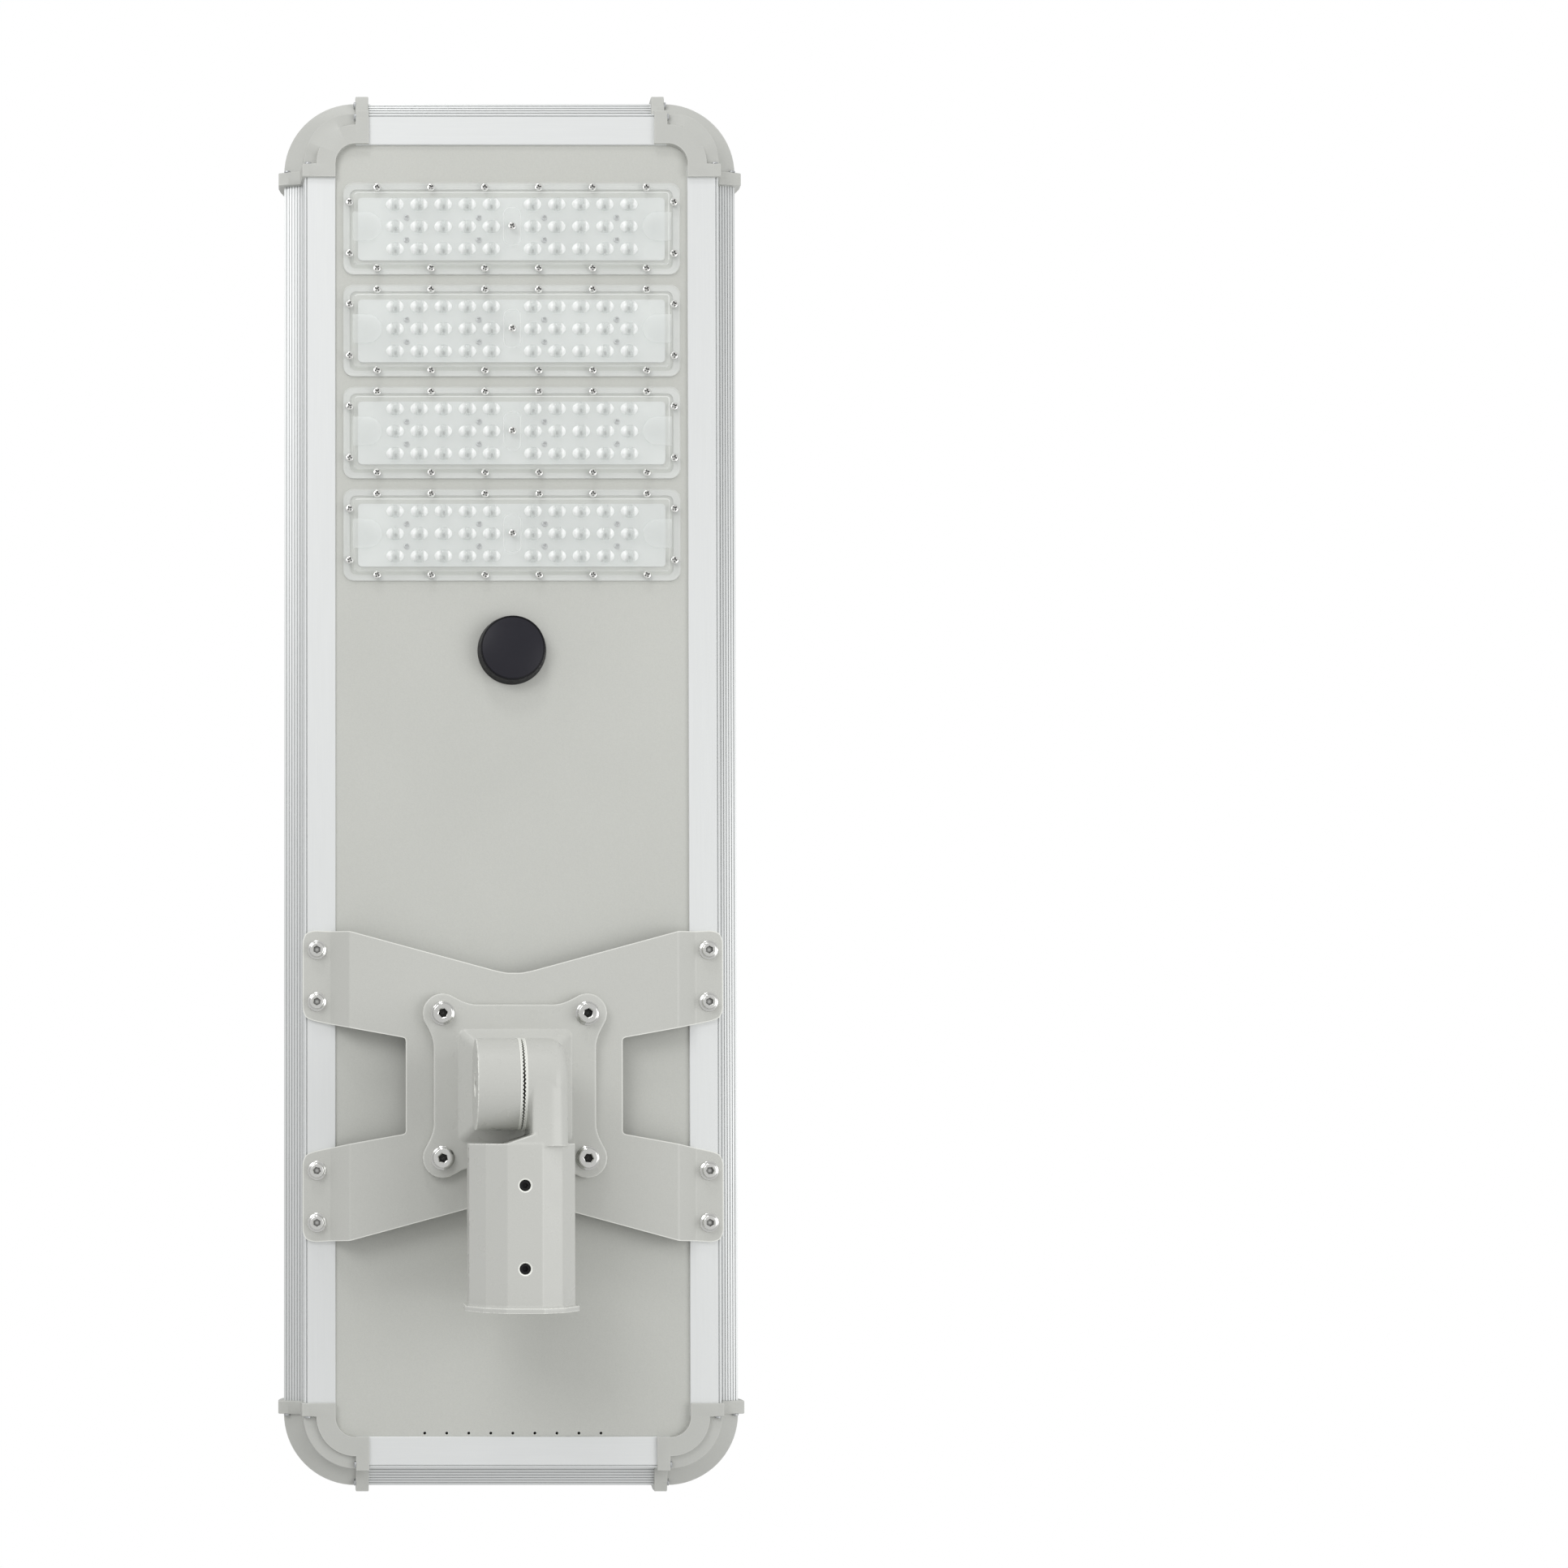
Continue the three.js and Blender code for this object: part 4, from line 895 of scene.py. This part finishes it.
def build_tilt_base():
    outer = rounded_rect(2 * FRUSTUM_HALF[0], 2 * FRUSTUM_HALF[0], 5, 4)
    inner = rounded_rect(2 * FRUSTUM_HALF[1], 2 * FRUSTUM_HALF[1], 4, 4)
    frustum = loft([at_height(outer, FOOT_Z[0] + 1), at_height(inner, FRUSTUM_TOP_Z)])
    barrel = placed(rod(72, BARREL_R, TOOTH_FACE_X, BARREL_END), ALONG_X)
    narrow = at_height(rounded_rect(31, 62, 3, 3), 5)
    wide = at_height(rounded_rect(32, 64, 3, 3), FRUSTUM_TOP_Z + 2)
    cheek = shifted(loft([narrow, wide]), 17.5, 0, 0)
    foot = prism(foot_outline(), *FOOT_Z)
    base = new_object("tilt_base_casting", placed(joined([foot, frustum, barrel, cheek]), PIVOT))
    cast(base)
    hole = rod(24, EAR_HOLE_R, 40, 60)
    ear_holes = [placed(hole, PIVOT @ at(x, y, 0)) for x, y in mirrored(EAR, EAR)]
    bolt_hole = placed(rod(32, BOLT_HOLE_R, -1, 40), PIVOT @ ALONG_X)
    nut_pocket = placed(rod(6, 10.3, 24.8, 45), PIVOT @ ALONG_X)
    cut(base, [joined(ear_holes), bolt_hole, nut_pocket])
    finish_piece(base, "painted_casting", sharp_deg=50, replaces=["tilt_base"])


def socket_outline(r):
    lower = [math.radians(deg) for deg in FACET_DEG]
    return fourfold([(r * math.sin(a), r * math.cos(a)) for a in lower][::-1])


def arm_barrel():
    """The moving half of the barrel, with a rounded outer rim."""
    steps = 6
    outer_z = -BARREL_END + 1
    profile = [(0, outer_z)]
    for i in range(steps, -1, -1):
        a = math.pi / 2 * i / steps
        r = BARREL_R - BARREL_ROUND * (1 - math.cos(a))
        profile.append((r, outer_z + BARREL_ROUND * (1 - math.sin(a))))
    profile += [(BARREL_R, -TOOTH_FACE_X), (0, -TOOTH_FACE_X)]
    return placed(turned(profile, 72), ALONG_X)


def arm_neck():
    """The neck, from the barrel to just inside the socket, where it reaches further down."""
    inner_x = -5.5
    outer_x = -BARREL_END + 1
    rings = []
    for y, front in ((2, 35), (SOCKET_Y[0] - 2, 39.6)):
        outline = [(inner_x, -front), (inner_x, 29), (outer_x + 6, 29), (outer_x, 23)]
        outline += [(outer_x, -front + 13), (outer_x + 5, -front + 3), (outer_x + 13, -front)]
        rings.append([(x, y, z) for x, z in softened(outline, 3)])
    return loft(rings)


def set_screw_holes():
    """The two screw holes in the socket's lowest facet, chamfered where they open."""
    steps = ((5.5, FACET_Z - 0.5), (4.3, FACET_Z + 0.7), (4.3, -20))
    hole = loft([at_height(polygon(32, r), z) for r, z in steps])
    return joined([placed(hole, PIVOT @ at(0, y, 0)) for y in SET_SCREW_Y])


def build_tilt_arm():
    inside_y = SOCKET_Y[0] - 2
    gusset = prism([(14, inside_y), (14, SOCKET_Y[0]), (-8, -37.5), (-8, inside_y)], -39.2, 24)
    socket = along_y(socket_outline(SOCKET_R), SOCKET_Y[1], SOCKET_Y[0])
    rim = along_y(socket_outline(SOCKET_R + RIM_PROUD), SOCKET_Y[1], SOCKET_Y[1] + RIM_LENGTH)
    solids = joined([arm_barrel(), arm_neck(), gusset, socket, rim])
    arm = new_object("tilt_arm_casting", placed(solids, PIVOT))
    cast(arm)
    down_the_socket = PIVOT @ turn(90, "X")
    bore = placed(rod(72, BORE_R, PIVOT_Y, 200), down_the_socket)
    rings = ((BORE_R - 1, -SOCKET_Y[1] - 2.2), (BORE_R + 2, -SOCKET_Y[1] + 1))
    mouth = placed(loft([at_height(polygon(72, r), z) for r, z in rings]), down_the_socket)
    bolt_hole = placed(rod(32, BOLT_HOLE_R, -40, 1), PIVOT @ ALONG_X)
    counterbore = placed(rod(48, 10, -45, -21.5), PIVOT @ ALONG_X)
    cut(arm, [bore, mouth, bolt_hole, counterbore, set_screw_holes()])
    finish_piece(arm, "painted_casting", "painted_arm", 50, ["tilt_arm"], ARM_BODY)


def tooth_ring(phase):
    """A closed ring of radial teeth standing up from z = 0."""
    r0, r1 = TOOTH_RING
    rings = []
    for i in range(2 * TOOTH_COUNT):
        a = (i + phase) * math.pi / TOOTH_COUNT
        top = TOOTH_HEIGHT if i % 2 == 0 else 0.15
        outline = [(r0, -1), (r1, -1), (r1, top), (r0, top)]
        rings.append([(r * math.cos(a), r * math.sin(a), z) for r, z in outline])
    return loft(rings, closed=True)


def build_teeth():
    """Two tooth rings that face each other across the barrel's seam."""
    fixed = placed(tooth_ring(0), PIVOT @ at(TOOTH_FACE_X, 0, 0) @ ALONG_X @ turn(180, "X"))
    moving = placed(tooth_ring(1), PIVOT @ at(-TOOTH_FACE_X, 0, 0) @ ALONG_X)
    piece("fixed_teeth", fixed, "painted_casting", sharp_deg=20)
    piece("moving_teeth", moving, "painted_casting", sharp_deg=20, body=ARM_BODY)


# ---- bracket sheet


def bracket_outline():
    quarter = [(85, 37.5), (SHOULDER_X, 45.5), (157, 51.5), (163.5, 54), (FLANGE_X[1], 60)]
    quarter += [(FLANGE_X[1], 115), (163.5, 121), (157, 123), (SHOULDER_X, 121.5)]
    quarter += [(15, 90.5), (6, 88.6)]
    return fourfold(quarter)


def sheet_height(x, flange_z):
    """The sheet's lower face: down at the middle, up at the flanges, with rounded bends."""
    width = FLANGE_X[0] - SHOULDER_X
    rise = flange_z - BRACKET_Z
    d = (abs(x) - SHOULDER_X) / width
    soft = BEND / width
    if d <= -soft:
        return BRACKET_Z
    if d >= 1 + soft:
        return flange_z
    if d < soft:
        return BRACKET_Z + rise * (d + soft) ** 2 / (4 * soft)
    if d > 1 - soft:
        return flange_z - rise * (1 + soft - d) ** 2 / (4 * soft)
    return BRACKET_Z + rise * d


def flat_bracket():
    """The unfolded sheet: its points, its faces and its border edges."""
    flat = bmesh.new()
    corners = [flat.verts.new((x, y, 0)) for x, y in softened(bracket_outline(), 2.5, 3)]
    edges = [flat.edges.new((corners[i - 1], corners[i])) for i in range(len(corners))]
    holes = [(x, sy * y, RAIL_HOLE_R) for x, sy in mirrored(RAIL_BOLT_X, 1) for y in RAIL_BOLT_Y]
    holes += [(x, y, EAR_HOLE_R) for x, y in mirrored(EAR, EAR)]
    for x, y, r in holes:
        ring = [flat.verts.new((x + px, y + py, 0)) for px, py in polygon(20, r)]
        edges += [flat.edges.new((ring[i - 1], ring[i])) for i in range(len(ring))]
    bmesh.ops.triangle_fill(flat, use_beauty=True, use_dissolve=False, edges=edges)
    steps = [BEND * share for share in (-1, -0.5, 0, 0.5, 1)]
    bend_x = [start + step for start in (SHOULDER_X, FLANGE_X[0]) for step in steps]
    for x in [sign * x for x in bend_x for sign in (-1, 1)]:
        geometry = flat.verts[:] + flat.edges[:] + flat.faces[:]
        bmesh.ops.bisect_plane(flat, geom=geometry, plane_co=(x, 0, 0), plane_no=(1, 0, 0))
    lower = [v.co.copy() for v in flat.verts]
    flat.verts.index_update()
    faces = [tuple(v.index for v in f.verts) for f in flat.faces]
    border = [tuple(v.index for v in e.verts) for e in flat.edges if len(e.link_faces) == 1]
    flat.free()
    return lower, faces, border


def build_bracket():
    lower, faces, border = flat_bracket()
    flange_z = LIP_Z - SHEET - 0.1
    points = []
    for side in (0, 1):
        for p in lower:
            slope = sheet_height(p.x + 0.1, flange_z) - sheet_height(p.x - 0.1, flange_z)
            normal = Vector((-slope / 0.2, 0, 1)).normalized()
            q = Vector((p.x, p.y, sheet_height(p.x, flange_z))) + normal * SHEET * side
            points.append(tuple(q))
    count = len(lower)
    solid_faces = [f[::-1] for f in faces]
    solid_faces += [tuple(i + count for i in f) for f in faces]
    solid_faces += [(a, b, b + count, a + count) for a, b in border]
    solid = placed((points, solid_faces), PIVOT)
    bevel(piece("bracket_sheet", solid, "painted_sheet", replaces=["bracket_plate"]), 60)


# ---- LED modules


def ring_stack(levels, width, length, r):
    """Rounded rectangles stacked by (inset, z) levels."""
    rings = []
    for inset, z in levels:
        outline = rounded_rect(width - 2 * inset, length - 2 * inset, max(r - inset, 0.8), 8)
        rings.append(at_height(outline, z))
    return rings


def cover_solid():
    """A clear cover: screwed flange, raised plateau, hollow over the board."""
    edge = ((1.2, 0.85), (0, 0.3), (0, -1.0), (0.25, -1.4), (0.7, -1.5))
    groove = ((2.2, -1.5), (2.4, -1.2), (3.0, -1.2), (3.2, -1.5))
    wall = ((0, -1.5), (0.5, -2.0), (1.1, -4.0), (1.6, -4.8), (2.4, LENS_TOP_Z), (6, LENS_TOP_Z))
    hollow = ((8, -3.1), (4.2, -3.1), (3.4, -2.6), (3.2, 0.85))
    flange = ring_stack(edge + groove, *MODULE_SIZE, MODULE_R)
    plateau = ring_stack(wall, *PLATEAU_SIZE, 7)
    inside = ring_stack(hollow, *PLATEAU_SIZE, 6)
    return loft(plateau[::-1] + flange[::-1] + inside[::-1])


def dome_solid():
    """An oblong lens: an oval skirt with a round crown set off to one side."""
    circle = polygon(28, 1)
    rings = [[(7.0 * x, 5.2 * y, 0.35) for x, y in circle]]
    for share in (0, 0.18, 0.36, 0.54, 0.7, 0.84, 0.94):
        a = math.pi / 2 * share
        rx = 6.7 * math.cos(a)
        ry = 4.9 * math.cos(a)
        z = -4.4 * math.sin(a)
        rings.append([(rx * x - 0.5 * share, ry * y, z) for x, y in circle])
    return loft(rings)


def outline_bead(outline, r):
    """A round bead that follows a closed outline on z = 0."""
    rings = []
    count = len(outline)
    for i, (x, y) in enumerate(outline):
        ahead = Vector(outline[(i + 1) % count]) - Vector(outline[i - 1])
        out = Vector((ahead.y, -ahead.x)).normalized()
        section = [(r * math.cos(a), r * math.sin(a)) for a in (math.pi * k / 3 for k in range(6))]
        rings.append([(x + out.x * across, y + out.y * across, z) for across, z in section])
    return loft(rings, closed=True)


def pad_outline(inset):
    """The flat at one end of a cover, round on its inner side."""
    r = PAD_R - inset
    end = PAD_X[1] - inset
    return [(end, -r)] + arc(PAD_X[0], 0, r, -90, -270, 18) + [(end, r)]


def cover_pads():
    """The flats at both ends of a cover and the oval bead round its middle screw."""
    levels = ((0, 0.2), (0, -0.5), (PAD_BEVEL, -0.9))
    pad = loft([at_height(pad_outline(inset), LENS_TOP_Z + z) for inset, z in levels])
    bead = outline_bead(rounded_rect(13.4, 30, 5, 6), 0.45)
    return joined([pad, placed(pad, turn(180)), shifted(bead, 0, 0, LENS_TOP_Z)])


def scattered(screw, places, z):
    """Screws at the mirrored places, each turned by its own random angle."""
    spots = [spot for x, y in places for spot in mirrored(x, y)]
    return joined([shifted(placed(screw, turn(chance.uniform(0, 90))), x, y, z) for x, y in spots])


def build_modules():
    cover = cover_solid()
    dome = dome_solid()
    pads = cover_pads()
    screw = small_screw(2.9, 1.7)
    board_screw = small_screw(2.2, 1.3)
    chip = loft([at_height(rounded_rect(1.5, 2.6, 0.3, 2), z) for z in (0.4, -0.5)])
    spots = [(sign * x, y) for x in LENS_COLUMNS for sign in (-1, 1) for y in LENS_ROWS]
    domes = joined([shifted(dome, x, y, LENS_TOP_Z) for x, y in spots])
    chips = joined([shifted(chip, x - 0.6, y, 0) for x, y in spots])
    middle = placed(shifted(screw, 0, 0, LENS_TOP_Z), turn(30))
    for i in range(1, 5):
        old = f"lens_cover_{i}"
        low, high = box_mm(old)
        centre = at(0, (low.y + high.y) / 2, LIP_Z)
        made = new_object(f"module_cover_{i}", placed(cover, centre))
        finish_piece(made, "clear_lens", sharp_deg=25, replaces=[old])
        flange_screws = scattered(screw, FLANGE_SCREWS, -1.5)
        board_screws = scattered(board_screw, BOARD_SCREWS, 0.35)
        parts = (
            ("module_lenses", domes, "clear_lens", "lens_dome"),
            ("module_pads", pads, "clear_lens", "cover_pad"),
            ("led_chips", chips, "white_board", "led_chip"),
            ("lens_screws", flange_screws, "bright_steel", "small_screw"),
            ("board_screws", board_screws, "cast_aluminium", None),
            ("middle_screw", middle, "bright_steel", "small_screw"),
        )
        for name, solid, slot, look in parts:
            piece(f"{name}_{i}", placed(solid, centre), slot, look=look)


# ---- sensor


def build_sensor():
    low, high = box_mm("sensor_cap")
    centre = at(0, (low.y + high.y) / 2, LIP_Z)
    r = (high.x - low.x) / 2
    face = low.z - LIP_Z
    seat = 1.95
    rim = ((3.0, 0.5), (2.9, 0.2), (2.6, 0), (2.2, 0), (1.9, 0.15), (1.7, 0.6), (1.6, 1.2))
    profile = [(0, face + 0.5)] + [(r - inset, face + z) for inset, z in rim]
    profile += [(r - 0.2, seat - 1.5), (r, seat - 0.7), (r, seat), (8, seat), (8, 16), (0, 16)]
    housing = placed(turned(profile, 96), centre)
    piece("sensor_housing", housing, "black_plastic", replaces=["sensor_cap"])
    rim = ((3.5, 0.1), (3.2, 0.25), (3.1, 0.8))
    profile = [(0, face + 0.1)] + [(r - inset, face + z) for inset, z in rim] + [(0, face + 0.8)]
    window = placed(turned(profile, 96), centre)
    piece("sensor_window", window, "black_plastic", look="sensor_window")


# ---- solar panel

CELL_PITCH = 157
JOINTS_Y = [-466 + CELL_PITCH * i for i in range(7)]
FIELD_Y = (-532, 535)
FIELD_X = (0.06, 157.3)
FIELD_CHAMFER = 36.5
BUSBAR_X = (16.3, 48.8, 81.3, 113.8, 146.3)
BUSBAR_WIDTH = 1.5
# At each kind of cut: half the gap, and the chamfers at the panel's middle and at its edge.
FIELD_END = (0, 0, FIELD_CHAMFER)
FULL_CELL_CUT = (0.85, 10.7, 7)
HALF_CELL_CUT = (0.85, 0, 0)


def half_cell(low, high):
    """The outline of one half cell on the +X side, between two cuts of (y, kind of cut)."""
    x0, x1 = FIELD_X
    y0 = low[0] + low[1][0]
    y1 = high[0] - high[1][0]
    corners = (
        (x0, 1, y0, 1, low[1][1]),
        (x1, -1, y0, 1, low[1][2]),
        (x1, -1, y1, -1, high[1][2]),
        (x0, 1, y1, -1, high[1][1]),
    )
    outline = []
    for i, (x, side_x, y, side_y, chamfer) in enumerate(corners):
        ends = [(x, y + side_y * chamfer), (x + side_x * chamfer, y)]
        outline += ends[:: -1 if i % 2 else 1] if chamfer else ends[:1]
    return outline


def build_panel():
    low, high = box_mm("solar_cells")
    z0 = low.z - LIP_Z
    z1 = high.z - LIP_Z
    mirror = Matrix.Scale(-1, 4, (1, 0, 0))
    cuts = [(y, FULL_CELL_CUT) for y in JOINTS_Y]
    cuts += [(y + CELL_PITCH / 2, HALF_CELL_CUT) for y in JOINTS_Y[:-1]]
    cuts += [(y, FIELD_END) for y in FIELD_Y]
    cuts.sort()
    cells = []
    for below, above in zip(cuts, cuts[1:]):
        cell = prism(half_cell(below, above), z0, z1)
        cells += [cell, placed(cell, mirror)]
    piece("solar_wafers", placed(joined(cells), HEAD), "solar_cell", replaces=["solar_cells"])
    ribbons = []
    half = BUSBAR_WIDTH / 2
    for x in BUSBAR_X:
        short = max(0, x + half - (FIELD_X[1] - FIELD_CHAMFER))
        ya = FIELD_Y[0] + short
        yb = FIELD_Y[1] - short
        outline = [(x - half, ya), (x + half, ya), (x + half, yb), (x - half, yb)]
        strip = prism(outline, z1 + 0.01, z1 + 0.07)
        ribbons += [strip, placed(strip, mirror)]
    piece("solar_ribbons", placed(joined(ribbons), HEAD), "solar_cell", look="solar_ribbon")


# ---- stage, light and camera


def build_stage():
    floor_z = -4000
    floor = new_object("floor", rod(64, 90000, floor_z - 20, floor_z))
    look, shader, place = new_look("floor")
    shade = spread(noise(place, 0.6, 3), 0.99, 1.01)
    coat(shader, (0.9, 0.9, 0.895), shade, 0.8)
    floor.data.materials.append(look)


def build_world():
    """A white backdrop for the camera and a softer grey for the light it gives."""
    world = bpy.data.worlds.new("studio")
    bpy.context.scene.world = world
    world.use_nodes = True
    tree = world.node_tree
    tree.nodes.clear()
    seen = node(tree, "ShaderNodeLightPath").outputs["Is Camera Ray"]
    strength = spread(seen, 0.68, 1, 0, 1)
    sky = node(tree, "ShaderNodeBackground", Color=(1, 1, 1, 1), Strength=strength)
    node(tree, "ShaderNodeOutputWorld", Surface=sky.outputs["Background"])


def area_light(name, place, target, size, watts):
    light = bpy.data.lights.new(name, "AREA")
    light.shape = "DISK"
    light.size = size
    light.energy = watts
    obj = bpy.data.objects.new(name, light)
    obj.location = place
    obj.rotation_euler = (Vector(target) - Vector(place)).to_track_quat("-Z", "Y").to_euler()
    obj.visible_camera = False
    bpy.context.scene.collection.objects.link(obj)


def build_lights():
    middle = (0, HEAD_Y * MM, LIP_Z * MM)
    area_light("key_below", (1.3, 1.5, -1.7), middle, 1.3, 15)
    area_light("front_below", (0.4, 2.7, -0.9), middle, 0.5, 9)
    area_light("fill_below", (-1.6, 0.1, -1.3), middle, 1.6, 13)
    area_light("key_above", (-1.4, -1.2, 2.6), middle, 1.6, 16)


CAMERA_RISE = -1.85
CAMERA_OFFSET = (0.155, -0.274)
CAMERA_PITCH = 0.0158
LENS = 53.73
SHIFT = (0.2981, 0.1994)


def build_camera():
    """The front view: almost square to the underside, with the lens shifted off its axis."""
    data = bpy.data.cameras.new("camera")
    data.lens = LENS
    camera = bpy.data.objects.new("camera", data)
    home_z = LIP_Z * MM + CAMERA_RISE
    camera.location = (CAMERA_OFFSET[0], HEAD_Y * MM + CAMERA_OFFSET[1], home_z)
    camera.rotation_euler = (CAMERA_PITCH, math.pi, 0)
    bpy.context.scene.collection.objects.link(camera)
    bpy.context.scene.camera = camera
    for path, amount in (("shift_x", SHIFT[0]), ("shift_y", SHIFT[1])):
        shift_only_at(data, path, amount, camera, home_z)


def shift_only_at(data, path, amount, camera, home_z):
    """Drives a lens shift by the camera's height, so that views from elsewhere have none."""
    curve_made = data.driver_add(path)
    driver = curve_made.driver
    driver.type = "AVERAGE"
    variable = driver.variables.new()
    variable.type = "TRANSFORMS"
    target = variable.targets[0]
    target.id = camera
    target.transform_type = "LOC_Z"
    target.transform_space = "WORLD_SPACE"
    for modifier in list(curve_made.modifiers):
        curve_made.modifiers.remove(modifier)
    near = 0.04
    for z, value in ((home_z - near, 0), (home_z, amount), (home_z + near, 0)):
        key = curve_made.keyframe_points.insert(z, value)
        key.interpolation = "LINEAR"


# ---- everything

bpy.context.scene.view_settings.view_transform = "Standard"
dress_cad_nodes()
build_rails()
build_corners()
build_fasteners()
build_set_screws()
build_tilt_base()
build_tilt_arm()
build_teeth()
build_bracket()
build_modules()
build_sensor()
build_panel()
build_stage()
build_world()
build_lights()
build_camera()
